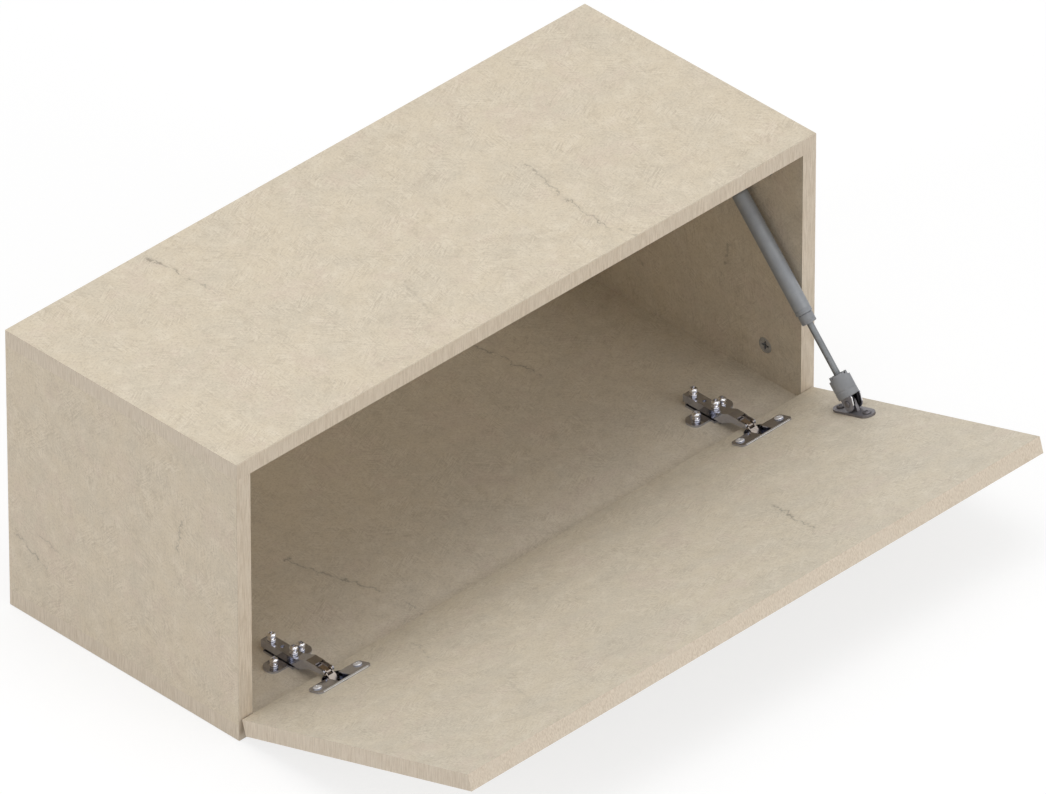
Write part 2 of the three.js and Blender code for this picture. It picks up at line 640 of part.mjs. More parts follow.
// ---- gas strut, drawn from its flap pivot along +Y ----
const strutFoot = openPlace(STRUT_FLAP_PIVOT);
const strutLine = minus(STRUT_TOP_PIVOT, strutFoot);
const STRUT_LENGTH = lengthOf(strutLine);
const strutFootClosed = plus(CLOSED_FLAP, onFlap(STRUT_FLAP_PIVOT));
const STRUT_STROKE = STRUT_LENGTH - lengthOf(minus(STRUT_TOP_PIVOT, strutFootClosed));
const CAP_END = SOCKET_FLOOR + STRUT_END_BUFFER + STRUT_STROKE;
const TUBE_END = STRUT_LENGTH - UPPER_NECK_LENGTH;

// A turned piece on the strut's line, from [radius, distance] points.
function turnedOnStrut(points, sides) {
  const profile = points.map(([radius, distance]) => new THREE.Vector2(radius, distance));
  return new THREE.LatheGeometry(profile, sides);
}

function endSocket() {
  const radius = SOCKET_DIAMETER / 2;
  const bowl = TUBE_DIAMETER / 2 + 1.5 * GAP;
  const barrel = turnedOnStrut([
    [0, SOCKET_CROTCH + 0.4],
    [radius - 3, SOCKET_CROTCH + 0.4],
    [radius, SOCKET_CROTCH + 4],
    [radius, SOCKET_RIM - 1],
    [radius - 0.6, SOCKET_RIM],
    [bowl, SOCKET_RIM],
    [bowl, SOCKET_FLOOR],
    [0, SOCKET_FLOOR],
  ], 24);
  const notches = [];
  for (let index = 0; index < CASTELLATION_COUNT; index += 1) {
    const notch = block(-CASTELLATION_HALF_WIDTH, CASTELLATION_HALF_WIDTH,
      SOCKET_RIM - CASTELLATION_DEPTH, SOCKET_RIM + PAST, radius - 4, radius + PAST);
    notches.push(notch.rotateY((index + 0.5) * 2 * Math.PI / CASTELLATION_COUNT));
  }
  const prongHalf = SOCKET_PRONG_SPREAD / 2;
  const neck = new THREE.Shape();
  neck.absarc(0, 0, SOCKET_PRONG_RADIUS, Math.PI / 2, Math.PI * 1.5);
  neck.lineTo(SOCKET_FLOOR - 1, -SOCKET_PRONG_RADIUS);
  neck.lineTo(SOCKET_FLOOR - 1, SOCKET_PRONG_RADIUS);
  const prongs = sideProfile(neck, -prongHalf, prongHalf);
  const slotHalf = TONGUE_THICKNESS / 2 + GAP + 0.1;
  const slot = block(-slotHalf, slotHalf, -radius, SOCKET_CROTCH, -radius, radius);
  const rodHole = barY(ROD_DIAMETER + 2 * GAP, SOCKET_CROTCH + 1.2, SOCKET_FLOOR + 1, [0, 0]);
  const pinHole = barX(STRUT_PIN_DIAMETER + 2 * GAP, -radius, radius, [0, 0]);
  return cut(join(barrel, prongs), slot, rodHole, pinHole, ...notches);
}

function strutRod() {
  const rod = ROD_DIAMETER / 2;
  const piston = PISTON_DIAMETER / 2;
  const pistonStart = CAP_END + END_CAP_LENGTH + GAP;
  return turnedOnStrut([
    [0, SOCKET_CROTCH + 1.5],
    [rod, SOCKET_CROTCH + 1.5],
    [rod, pistonStart],
    [piston, pistonStart],
    [piston, pistonStart + PISTON_LENGTH],
    [rod, pistonStart + PISTON_LENGTH],
    [rod, pistonStart + PISTON_LENGTH + 3],
    [0, pistonStart + PISTON_LENGTH + 3],
  ], 16);
}

function strutPin() {
  const half = SOCKET_PRONG_SPREAD / 2;
  const head = STRUT_PIN_DIAMETER + 2 * PIN_HEAD_EXTRA;
  return join(
    barX(STRUT_PIN_DIAMETER, -half - GAP, half + GAP, [0, 0]),
    barX(head, -half - GAP - PIN_HEAD_EXTRA, -half - GAP, [0, 0]),
    barX(head, half + GAP, half + GAP + PIN_HEAD_EXTRA, [0, 0]));
}

function endCap() {
  const bore = ROD_DIAMETER / 2 + GAP;
  const radius = END_CAP_DIAMETER / 2;
  const spigot = TUBE_BORE / 2 - GAP;
  return turnedOnStrut([
    [bore, CAP_END],
    [radius - 0.6, CAP_END],
    [radius, CAP_END + 0.8],
    [radius, CAP_END + END_CAP_LENGTH - TUBE_LIP],
    [spigot, CAP_END + END_CAP_LENGTH - TUBE_LIP],
    [spigot, CAP_END + END_CAP_LENGTH - GAP],
    [bore, CAP_END + END_CAP_LENGTH - GAP],
    [bore, CAP_END],
  ], 24);
}

function strutTube() {
  const radius = TUBE_DIAMETER / 2;
  const bore = TUBE_BORE / 2;
  const mouth = CAP_END + END_CAP_LENGTH - TUBE_LIP + GAP;
  return turnedOnStrut([
    [bore, mouth],
    [radius - 0.8, mouth],
    [radius, mouth + 1],
    [radius, TUBE_END - 2],
    [radius - 2, TUBE_END],
    [0, TUBE_END],
    [0, TUBE_END - 3],
    [bore, TUBE_END - 3],
    [bore, mouth],
  ], 24);
}

function upperSocket() {
  const half = UPPER_EYE_THICKNESS / 2;
  const start = TUBE_END + GAP;
  const neck = turnedOnStrut([
    [0, start],
    [6, start],
    [6, start + 4],
    [4.2, start + 7],
    [4.2, STRUT_LENGTH],
    [0, STRUT_LENGTH],
  ], 20);
  const eye = barX(2 * UPPER_EYE_RADIUS, -half, half, [STRUT_LENGTH, 0], 20);
  const pinHead = barX(STUD_DIAMETER, -half - 1.4, -half + 0.5, [STRUT_LENGTH, 0], 12);
  return join(neck, eye, pinHead);
}

// The plate on the side panel, whose stud ends just short of the strut's eye.
function sideBracketScrewPlaces() {
  return [-1, 1].map((end) => plus(STRUT_TOP_PIVOT, [0, end * BRACKET_SCREW_SPACING / 2]));
}

function sideBracket() {
  const [depth, height] = STRUT_TOP_PIVOT;
  const reach = (BRACKET_LENGTH - BRACKET_BREADTH) / 2;
  const plateFace = INSIDE_X - BRACKET_SHEET;
  const base = sideProfile(
    strip([depth, height - reach], [depth, height + reach], BRACKET_BREADTH / 2), plateFace, INSIDE_X);
  const studEnd = STRUT_X + UPPER_EYE_THICKNESS / 2 + STUD_FREE_GAP;
  const stud = barX(STUD_DIAMETER, studEnd, plateFace + 0.5, STRUT_TOP_PIVOT, 20);
  const holes = sideBracketScrewPlaces().map((place) =>
    barX(FLAT_SCREW_HOLE, plateFace - PAST, INSIDE_X + PAST, place));
  return cut(join(base, stud), ...holes);
}

// ---- wall hangers in the upper rear corners ----
function wallHanger(side) {
  const centre = side * (INSIDE_X - GAP - HANGER_WIDTH / 2);
  const rear = BACK_FRONT - GAP;
  const low = hangerBottom();
  const middle = low + HANGER_HEIGHT / 2;
  const outline = roundedRectangle(-HANGER_WIDTH / 2, HANGER_WIDTH / 2, 0, HANGER_HEIGHT, HANGER_CORNER);
  const shell = extrude(outline, HANGER_DEPTH);
  shell.rotateX(Math.PI / 2).translate(centre, rear, low);
  const tongue = block(centre - HOOK_WIDTH / 2, centre + HOOK_WIDTH / 2, rear - 1, BACK_REAR + HOOK_REACH,
    middle - HOOK_SHEET / 2, middle + HOOK_SHEET / 2);
  const lip = block(centre - HOOK_WIDTH / 2, centre + HOOK_WIDTH / 2, BACK_REAR + HOOK_REACH - HOOK_SHEET,
    BACK_REAR + HOOK_REACH, middle - HOOK_WIDTH + 2, middle + HOOK_SHEET / 2);
  const screwWells = [low + HANGER_WELL_INSET, low + HANGER_HEIGHT - HANGER_WELL_INSET].map((height) =>
    barY(HANGER_WELL_DIAMETER, rear - HANGER_DEPTH - PAST, rear - HANGER_DEPTH + 5, [centre, height]));
  return cut(join(shell, tongue, lip), ...screwWells);
}

// ---- assembly: the cabinet group's Y is the distance back from the carcass front ----
const cabinet = new THREE.Group();
cabinet.name = 'cabinet';
cabinet.position.y = -DEPTH;

function movingGroup(name, [y, z], angle) {
  const group = new THREE.Group();
  group.name = name;
  group.position.set(0, y, z);
  group.rotation.x = angle;
  cabinet.add(group);
  return group;
}

const flap = movingGroup('flap', OPEN_FLAP, FLAP_OPENING);
const innerLinkAngle = angleOf(minus(innerPivotOpen, ARM_INNER_PIVOT));
const outerLinkAngle = angleOf(minus(outerPivotOpen, ARM_OUTER_PIVOT));
const innerLinks = movingGroup('inner_links', ARM_INNER_PIVOT, innerLinkAngle);
const outerLinks = movingGroup('outer_links', ARM_OUTER_PIVOT, outerLinkAngle);
const strutLower = movingGroup('strut_lower', strutFoot, angleOf(strutLine));
const strutUpper = movingGroup('strut_upper', strutFoot, angleOf(strutLine));
strutLower.position.x = STRUT_X;
strutUpper.position.x = STRUT_X;

cabinet.add(piece('top_panel', topPanel(), laminate));
cabinet.add(piece('bottom_panel', bottomPanel(), laminate));
cabinet.add(piece('left_side_panel', sidePanel(-1), laminate));
cabinet.add(piece('right_side_panel', sidePanel(1), laminate));
cabinet.add(piece('back_panel', backPanel(), backboard));
addCamFittings(cabinet);
cabinet.add(piece('left_wall_hanger', wallHanger(-1), nylon));
cabinet.add(piece('right_wall_hanger', wallHanger(1), nylon));
flap.add(piece('flap_panel', flapPanel(), laminate));

for (const [side, hingeX] of [['left', LEFT_HINGE_X], ['right', RIGHT_HINGE_X]]) {
  const at = (name, geometry, material) =>
    piece(`${side}_${name}`, geometry.translate(hingeX, 0, 0), material);
  cabinet.add(at('mounting_plate', mountingPlate(), chrome));
  cabinet.add(at('hinge_arm', hingeArm(), chrome));
  for (const [end, offset] of [['outer', -WING_SCREW_X], ['inner', WING_SCREW_X]]) {
    const screw = proudScrew(PLATE_SHEET + WOOD_SCREW_LENGTH);
    screw.translate(offset, PLATE_WING_DEPTH, BOARD + PLATE_SHEET);
    cabinet.add(at(`plate_screw_${end}`, screw, chrome));
  }
  for (const [use, depth] of [['fixing', FIXING_SCREW_DEPTH], ['adjusting', ADJUSTING_SCREW_DEPTH]]) {
    const screw = proudScrew(ARM_TOP - BOARD - PLATE_SHEET - 1);
    cabinet.add(at(`arm_${use}_screw`, screw.translate(0, depth, ARM_TOP), chrome));
  }
  innerLinks.add(at('inner_link', innerLink(), chrome));
  outerLinks.add(at('outer_link', outerLink(), chrome));
  flap.add(at('hinge_cup', hingeCup(), chrome));
  for (const [end, direction] of [['outer', -1], ['inner', 1]]) {
    const screw = crownScrew(WOOD_SCREW_LENGTH).rotateX(-Math.PI / 2);
    const x = direction * CUP_SCREW_SPACING / 2;
    flap.add(at(`cup_screw_${end}`, screw.translate(x, GAP + FLANGE_SHEET, CUP_SCREW_ALONG), chrome));
  }
}

flap.add(piece('strut_flap_bracket', flapBracket(), darkSteel));
flapBracketScrewPlaces().forEach((along, index) => {
  const screw = crownScrew(WOOD_SCREW_LENGTH).rotateX(-Math.PI / 2);
  screw.translate(STRUT_X, GAP + BRACKET_SHEET, along);
  flap.add(piece(`flap_bracket_screw_${index + 1}`, screw, darkSteel));
});
strutLower.add(piece('strut_end_socket', endSocket(), strutGrey));
strutLower.add(piece('strut_rod', strutRod(), strutGrey));
strutLower.add(piece('strut_pivot_pin', strutPin(), darkSteel));
strutUpper.add(piece('strut_end_cap', endCap(), strutGrey));
strutUpper.add(piece('strut_tube', strutTube(), strutGrey));
strutUpper.add(piece('strut_upper_socket', upperSocket(), strutGrey));
cabinet.add(piece('strut_side_bracket', sideBracket(), darkSteel));
sideBracketScrewPlaces().forEach(([depth, height], index) => {
  const screw = crownScrew(WOOD_SCREW_LENGTH).rotateY(-Math.PI / 2);
  screw.translate(INSIDE_X - BRACKET_SHEET, depth, height);
  cabinet.add(piece(`side_bracket_screw_${index + 1}`, screw, darkSteel));
});

export default cabinet;
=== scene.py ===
import json
import math

import bmesh
import bpy
from mathutils import Matrix, Vector

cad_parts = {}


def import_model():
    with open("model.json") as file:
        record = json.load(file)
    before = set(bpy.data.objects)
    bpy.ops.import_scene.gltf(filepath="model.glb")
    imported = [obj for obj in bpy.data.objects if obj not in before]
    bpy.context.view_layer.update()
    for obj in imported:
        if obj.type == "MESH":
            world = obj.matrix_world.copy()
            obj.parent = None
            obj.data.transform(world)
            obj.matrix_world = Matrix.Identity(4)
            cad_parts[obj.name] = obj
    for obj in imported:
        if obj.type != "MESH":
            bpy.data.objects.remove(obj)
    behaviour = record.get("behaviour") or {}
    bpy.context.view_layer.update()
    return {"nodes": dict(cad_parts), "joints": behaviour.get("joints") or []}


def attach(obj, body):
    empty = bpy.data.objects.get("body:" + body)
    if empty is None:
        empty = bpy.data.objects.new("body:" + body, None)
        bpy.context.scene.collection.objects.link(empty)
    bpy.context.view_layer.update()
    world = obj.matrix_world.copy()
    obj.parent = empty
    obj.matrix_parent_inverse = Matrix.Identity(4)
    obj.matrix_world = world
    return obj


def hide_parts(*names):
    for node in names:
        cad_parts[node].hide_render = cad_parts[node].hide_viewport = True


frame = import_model()

MM = 0.001
SIDES = ("left", "right")


# ---- places, in millimetres, taken from the frame ------------------------------------------------

RIGHT = Vector((1, 0, 0))
BACK = Vector((0, 1, 0))
UP = Vector((0, 0, 1))


def box(name):
    """Lowest and highest corner of a CAD node."""
    node = frame["nodes"][name]
    corners = [node.matrix_world @ Vector(corner) / MM for corner in node.bound_box]
    low = Vector([min(corner[axis] for corner in corners) for axis in range(3)])
    high = Vector([max(corner[axis] for corner in corners) for axis in range(3)])
    return low, high


def middle(name):
    low, high = box(name)
    return (low + high) / 2


def joint(name):
    """What the frame says of a joint."""
    return next(entry for entry in frame["joints"] if entry["name"] == name)


BOARD = box("top_panel")[1].z - box("top_panel")[0].z
CARCASS_FRONT = box("top_panel")[0].y

# The open flap's own frame: from the edge by its hinges, along the board and above its face.
FLAP_RISE = math.radians(17.1)
ALONG = Vector((0, -math.cos(FLAP_RISE), math.sin(FLAP_RISE)))
ABOVE = Vector((0, math.sin(FLAP_RISE), math.cos(FLAP_RISE)))
FLAP_ORIGIN = Vector((0, box("flap_panel")[1].y, box("flap_panel")[0].z + BOARD * ABOVE.z))

HINGE_X = {side: middle(f"{side}_hinge_arm").x for side in SIDES}
STRUT_PIVOT = Vector(joint("strut_swing")["pos_m"]) / MM
STRUT_AXIS = -Vector(joint("strut_slide")["axis"])
STRUT_LENGTH = (middle("strut_side_bracket") - STRUT_PIVOT).dot(STRUT_AXIS)


# ---- shader nodes --------------------------------------------------------------------------------

class Shader:
    """One procedural material: a Principled BSDF and short calls that add nodes in front of it."""

    def __init__(self, name, metallic=0.0, roughness=0.5):
        self.material = bpy.data.materials.new(name)
        self.material.use_nodes = True
        self.tree = self.material.node_tree
        self.bsdf = self.tree.nodes["Principled BSDF"]
        self.bsdf.inputs["Metallic"].default_value = metallic
        self.bsdf.inputs["Roughness"].default_value = roughness
        coords = self.tree.nodes.new("ShaderNodeTexCoord")
        self.place = coords.outputs["Object"]
        self.facing = coords.outputs["Normal"]

    def put(self, socket, value):
        if isinstance(value, bpy.types.NodeSocket):
            self.tree.links.new(value, socket)
        else:
            socket.default_value = value

    def math(self, operation, a, b=0.0, clamp=False):
        node = self.tree.nodes.new("ShaderNodeMath")
        node.operation = operation
        node.use_clamp = clamp
        self.put(node.inputs[0], a)
        self.put(node.inputs[1], b)
        return node.outputs[0]

    def vector(self, operation, a, b=(0, 0, 0), output="Vector"):
        node = self.tree.nodes.new("ShaderNodeVectorMath")
        node.operation = operation
        self.put(node.inputs[0], a)
        self.put(node.inputs["Scale" if operation == "SCALE" else 1], b)
        return node.outputs[output]

    def noise(self, scale, detail, roughness, at=None, colour=False):
        node = self.tree.nodes.new("ShaderNodeTexNoise")
        self.put(node.inputs["Vector"], at or self.place)
        node.inputs["Scale"].default_value = scale
        node.inputs["Detail"].default_value = detail
        node.inputs["Roughness"].default_value = roughness
        return node.outputs["Color" if colour else "Fac"]

    def wander(self, scale, detail, roughness, reach, at=None):
        """A shift in a random direction that changes from place to place."""
        noise = self.noise(scale, detail, roughness, at=at, colour=True)
        return self.vector("SCALE", self.vector("SUBTRACT", noise, (0.5, 0.5, 0.5)), reach)

    def cells(self, scale):
        node = self.tree.nodes.new("ShaderNodeTexVoronoi")
        self.put(node.inputs["Vector"], self.place)
        node.inputs["Scale"].default_value = scale
        return node.outputs["Distance"]

    def stretched(self, turn, scale, at=None):
        """The place turned by -turn and then multiplied by scale, axis by axis."""
        node = self.tree.nodes.new("ShaderNodeMapping")
        node.vector_type = "TEXTURE"
        self.put(node.inputs["Vector"], at or self.place)
        node.inputs["Rotation"].default_value = turn
        node.inputs["Scale"].default_value = [1 / value for value in scale]
        return node.outputs[0]

    def span(self, value, low, high, to_low=0.0, to_high=1.0):
        """The value eased from low..high to to_low..to_high, and held beyond them."""
        node = self.tree.nodes.new("ShaderNodeMapRange")
        node.interpolation_type = "SMOOTHSTEP"
        self.put(node.inputs["Value"], value)
        node.inputs["From Min"].default_value = low
        node.inputs["From Max"].default_value = high
        node.inputs["To Min"].default_value = to_low
        node.inputs["To Max"].default_value = to_high
        return node.outputs[0]

    def mix(self, factor, a, b, blend="MIX"):
        node = self.tree.nodes.new("ShaderNodeMix")
        node.data_type = "RGBA"
        node.blend_type = blend
        self.put(node.inputs[0], factor)
        for socket, value in ((node.inputs[6], a), (node.inputs[7], b)):
            self.put(socket, value if isinstance(value, bpy.types.NodeSocket) else (*value, 1.0))
        return node.outputs[2]

    def blend(self, factor, a, b):
        node = self.tree.nodes.new("ShaderNodeMix")
        self.put(node.inputs[0], factor)
        self.put(node.inputs[2], a)
        self.put(node.inputs[3], b)
        return node.outputs[0]

    def part(self, vector, axis):
        split = self.tree.nodes.new("ShaderNodeSeparateXYZ")
        self.tree.links.new(vector, split.inputs[0])
        return split.outputs[axis]

    def edge_wear_and_highlight(self, low, high, most):
        """Mask of the edges that stand out, up to the value most; the lighter colour it brings is partly wear
        and partly painted highlight.
        """
        edge = self.tree.nodes.new("ShaderNodeNewGeometry").outputs["Pointiness"]
        return self.span(edge, low, high, 0.0, most)

    def colour(self, value):
        self.put(self.bsdf.inputs["Base Color"], value)

    def roughness(self, value):
        self.put(self.bsdf.inputs["Roughness"], value)

    def bump(self, height, strength, distance):
        node = self.tree.nodes.new("ShaderNodeBump")
        self.put(node.inputs["Height"], height)
        node.inputs["Strength"].default_value = strength
        node.inputs["Distance"].default_value = distance
        self.tree.links.new(node.outputs[0], self.bsdf.inputs["Normal"])


def rgb(red, green, blue):
    """Linear colour of an sRGB colour given as 0 to 255."""
    def linear(value):
        value = value / 255
        return value / 12.92 if value <= 0.04045 else ((value + 0.055) / 1.055) ** 2.4
    return (linear(red), linear(green), linear(blue))


def scaled(colour, factor):
    return [min(1, part * factor) for part in colour]


# ---- laminate ------------------------------------------------------------------------------------

# Each board's visible face: a point on it and the two directions in which places on it are given.
FACES = {
    "top_panel": (UP * box("top_panel")[1].z, RIGHT, BACK),
    "bottom_panel": (UP * box("bottom_panel")[1].z, RIGHT, BACK),
    "left_side_panel": (RIGHT * box("left_side_panel")[0].x, BACK, UP),
    "right_side_panel": (RIGHT * box("right_side_panel")[0].x, BACK, UP),
    "flap_panel": (FLAP_ORIGIN, RIGHT, ALONG),
}

# Each board's veins: start and end on its face, width in millimetres, and strength.
VEINS = {
    "top_panel": [
        ((-189, -9), (-186, -50), 0.9, 0.75),
        ((-186, -50), (-184, -88), 0.8, 0.6),
        ((142, -138), (127, -196), 0.7, 0.6),
        ((127, -196), (120, -255), 0.9, 0.8),
        ((125, -262), (131, -282), 0.7, 0.6),
        ((-60, -190), (-75, -240), 1.6, 0.22),
    ],
    "bottom_panel": [
        ((-153, -137), (-128, -230), 0.8, 0.75),
        ((190, -24), (198, -98), 0.8, 0.75),
        ((-122, -255), (-128, -282), 0.7, 0.5),
    ],
    "left_side_panel": [
        ((-10, 80), (-45, 62), 0.8, 0.65),
        ((-38, 92), (-64, 84), 0.7, 0.5),
        ((-214, 196), (-208, 158), 0.8, 0.6),
    ],
    "right_side_panel": [
        ((-195, 133), (-186, 100), 0.9, 0.6),
        ((-60, 82), (-92, 60), 0.7, 0.5),
    ],
    "flap_panel": [
        ((152, 143.3), (132, 222.8), 0.8, 0.75),
        ((-178, 36.6), (-192, 72.1), 0.8, 0.45),
        ((-196, 176.8), (-214, 214.4), 1.3, 0.25),
    ],
}

# The laminate's warm, grey, rose, pale, deep and dusky tones.
TONES = (
    (218, 205, 183), (211, 200, 181), (215, 200, 182), (229, 218, 199), (180, 166, 146), (112, 103, 91))

EDGE_BAND = 0.6
DRIFT = (0.37, 0.11, 0.53)
LEVEL_THREADS = (85, 900, 300)
UPRIGHT_THREADS = (300, 85, 900)


def vein(shader, warped, start, end, width):
    """Mask of one thin vein with a faint stain about it; start, end and width are in millimetres."""
    direction = (end - start).normalized()
    offset = shader.vector("SUBTRACT", warped, start * MM)
    along = shader.vector("DOT_PRODUCT", offset, direction, "Value")
    along = shader.math("MAXIMUM", along, 0.0)
    along = shader.math("MINIMUM", along, (end - start).length * MM)
    line = shader.vector("SCALE", direction, along)
    reach = shader.vector("LENGTH", shader.vector("SUBTRACT", offset, line), output="Value")
    core = shader.span(reach, width * MM * 0.3, width * MM * 1.6, 1.0, 0.0)
    stain = shader.span(reach, 0.0, width * MM * 6, 0.28, 0.0)
    return shader.math("MAXIMUM", core, stain)


def veined(shader, name, base, dusk):
    """The base colour with the board's veins, which wander within the plane of its face only."""
    origin, first, second = FACES[name]
    normal = first.cross(second)
    shift = shader.vector("ADD", shader.wander(70, 3, 0.6, 0.02), shader.wander(260, 2, 0.5, 0.005))
    lift = shader.vector("DOT_PRODUCT", shift, normal, "Value")
    shift = shader.vector("SUBTRACT", shift, shader.vector("SCALE", normal, lift))
    warped = shader.vector("ADD", shader.place, shift)
    mask = 0.0
    for start, end, width, strength in VEINS[name]:
        start, end = [origin + first * place[0] + second * place[1] for place in (start, end)]
        line = shader.math("MULTIPLY", vein(shader, warped, start, end, width), strength)
        mask = shader.math("MAXIMUM", mask, line)
    drift = shader.vector("ADD", shader.place, DRIFT)
    breaks = shader.span(shader.noise(90, 2, 0.5, at=drift), 0.36, 0.54, 0.15, 0.7)
    return shader.mix(shader.math("MULTIPLY", mask, breaks, clamp=True), base, dusk)


def mottled(shader, drift, warm, grey, rose, pale, deep):
    """Cloudy colour of the laminate before its threads."""
    patches = shader.noise(60, 5, 0.7)
    rosy = shader.span(shader.noise(23, 4, 0.65, at=drift), 0.5, 0.68, 0.0, 0.8)
    base = shader.mix(shader.span(shader.noise(17, 5, 0.68), 0.36, 0.66), warm, grey)
    base = shader.mix(rosy, base, rose)
    base = shader.mix(shader.span(patches, 0.5, 0.72, 0.0, 0.7), base, pale)
    return shader.mix(shader.span(patches, 0.48, 0.3, 0.0, 0.3), base, deep)


def threads(shader, upright, drift):
    """Masks of the light and the dark threads, which change direction from patch to patch."""
    curved = shader.vector("ADD", shader.place, shader.wander(30, 2, 0.55, 0.007, at=drift))
    stretch = UPRIGHT_THREADS if upright else LEVEL_THREADS
    fields = []
    for angle in (0.45, 1.45, 2.35):
        turn = (angle, 0, 0) if upright else (0, 0, angle)
        fields.append(shader.noise(1.0, 1, 0.5, at=shader.stretched(turn, stretch, curved)))
    where = shader.noise(26, 3, 0.6, at=drift)
    first_step = shader.span(where, 0.44, 0.5)
    second_step = shader.span(where, 0.52, 0.58)
    ahead = shader.blend(second_step, shader.blend(first_step, fields[0], fields[1]), fields[2])
    across = shader.blend(second_step, shader.blend(first_step, fields[1], fields[2]), fields[0])
    lively = shader.span(shader.noise(38, 3, 0.6), 0.42, 0.62, 0.25, 1.0)
    light = shader.math("MAXIMUM", shader.span(ahead, 0.5, 0.68), shader.span(across, 0.54, 0.72))
    dark = shader.math("MAXIMUM", shader.span(ahead, 0.48, 0.32), shader.span(across, 0.44, 0.3))
    return shader.math("MULTIPLY", light, lively), shader.math("MULTIPLY", dark, lively)


def band(shader, upright, grain, tone):
    """Streaked colour of the edge band, whose streaks stand upright, multiplied by a tone that brightens it
    as a painted highlight where above 1.
    """
    patches = shader.noise(60, 5, 0.7)
    stretch = (1100, 260, 60) if upright else (1100, 1100, 60)
    streaks = shader.noise(1.0, 2, 0.6, at=shader.stretched((0, 0, 0), stretch))
    colour = shader.mix(shader.span(streaks, 0.36, 0.66), rgb(225, 211, 192), rgb(205, 189, 168))
    colour = shader.mix(shader.span(patches, 0.42, 0.66, 0.0, 0.5), colour, rgb(215, 202, 183))
    colour = shader.mix(shader.span(grain, 0.5, 0.72, 0.0, 0.3), colour, rgb(194, 178, 157))
    return shader.mix(1.0, colour, (tone, tone, tone), "MULTIPLY")


def raw_rear(shader, base, banded):
    """The base colour with bare chipboard on the rear edge and a glue line behind the front band."""
    rear = shader.math("MULTIPLY", shader.span(shader.part(shader.facing, "Y"), 0.6, 0.75), banded)
    chips = shader.span(shader.noise(260, 3, 0.6), 0.4, 0.65)
    chips = shader.mix(chips, rgb(196, 164, 122), rgb(158, 124, 86))
    flakes = shader.mix(shader.span(shader.cells(420), 0.2, 0.6, 0.0, 0.6), chips, rgb(212, 184, 144))
    base = shader.mix(rear, base, flakes)
    glue_line = (CARCASS_FRONT + EDGE_BAND) * MM
    away = shader.math("ABSOLUTE", shader.math("SUBTRACT", shader.part(shader.place, "Y"), glue_line))
    return shader.mix(shader.span(away, 0.0001, 0.0003, 0.4, 0.0), base, rgb(130, 114, 94))


def laminate(name, light_and_shade_tint, edge_highlight_tone=1.0):
    """Warm beige board: cloudy mottling, crossed fine threads, thin veins, banded and raw edges, tinted per
    board with painted light and shade.
    """
    upright = "side" in name
    shader = Shader(f"laminate_{name.split('_')[0]}", roughness=0.5)
    warm, grey, rose, pale, deep, dusk = [
        [value * part for value, part in zip(rgb(*tone), light_and_shade_tint)] for tone in TONES]
    drift = shader.vector("ADD", shader.place, DRIFT)
    grain = shader.noise(520, 3, 0.7)
    light, dark = threads(shader, upright, drift)
    base = mottled(shader, drift, warm, grey, rose, pale, deep)
    base = shader.mix(shader.math("MULTIPLY", light, 0.62), base, pale)
    base = shader.mix(shader.math("MULTIPLY", dark, 0.36), base, deep)
    base = shader.mix(shader.span(grain, 0.5, 0.68, 0.0, 0.36), base, deep)
    base = shader.mix(shader.span(grain, 0.5, 0.32, 0.0, 0.36), base, pale)
    base = veined(shader, name, base, dusk)

    face = shader.math("ABSOLUTE", shader.part(shader.facing, "X" if upright else "Z"))
    banded = shader.span(face, 0.6, 0.75, 1.0, 0.0)
    base = shader.mix(banded, base, band(shader, upright, grain, edge_highlight_tone))
    if name != "flap_panel":
        base = raw_rear(shader, base, banded)
    shader.colour(base)
    shader.roughness(shader.span(light, 0.0, 1.0, 0.58, 0.44))
    relief = shader.math("ADD", shader.math("SUBTRACT", light, dark), shader.math("MULTIPLY", grain, 0.8))
    shader.bump(relief, 0.2, 0.0002)
    return shader.material


# Each board's tint recolours the one laminate for the light it gets, which is painted light and shade; the
# right side panel's darker tint is painted shade on its inner face.
LAMINATES = {
    "top_panel": laminate("top_panel", (0.985, 0.98, 0.965)),
    "bottom_panel": laminate("bottom_panel", (1.0, 1.02, 1.06)),
    "left_side_panel": laminate("left_side_panel", (1.02, 1.0, 0.98)),
    "right_side_panel": laminate("right_side_panel", (0.93, 0.93, 0.94)),
    # The flap's front band is brightened by 1.06, a painted highlight.
    "flap_panel": laminate("flap_panel", (1.0, 1.02, 1.04), edge_highlight_tone=1.06),
}


def backboard():
    """Thin hardboard: foiled like the boards on the inside, brown and pressed on the wall side."""
    shader = Shader("hardboard", roughness=0.6)
    pulp = shader.noise(900, 3, 0.7)
    cloud = shader.noise(30, 3, 0.6)
    brown = shader.mix(shader.span(cloud, 0.35, 0.7), rgb(150, 116, 82), rgb(138, 106, 74))
    brown = shader.mix(shader.span(pulp, 0.45, 0.7, 0.0, 0.7), brown, rgb(174, 140, 102))
    grain = shader.span(shader.noise(520, 3, 0.7), 0.42, 0.66, 0.0, 0.5)
    foil = shader.mix(shader.span(cloud, 0.36, 0.66), rgb(208, 196, 175), rgb(202, 192, 173))
    foil = shader.mix(grain, foil, rgb(184, 171, 152))
    inside = shader.span(shader.part(shader.facing, "Y"), -0.3, -0.1, 1.0, 0.0)
    shader.colour(shader.mix(inside, brown, foil))
    shader.roughness(shader.span(pulp, 0.3, 0.7, 0.5, 0.75))
    shader.bump(pulp, 0.35, 0.0003)
    return shader.material


# ---- metals and plastics -------------------------------------------------------------------------

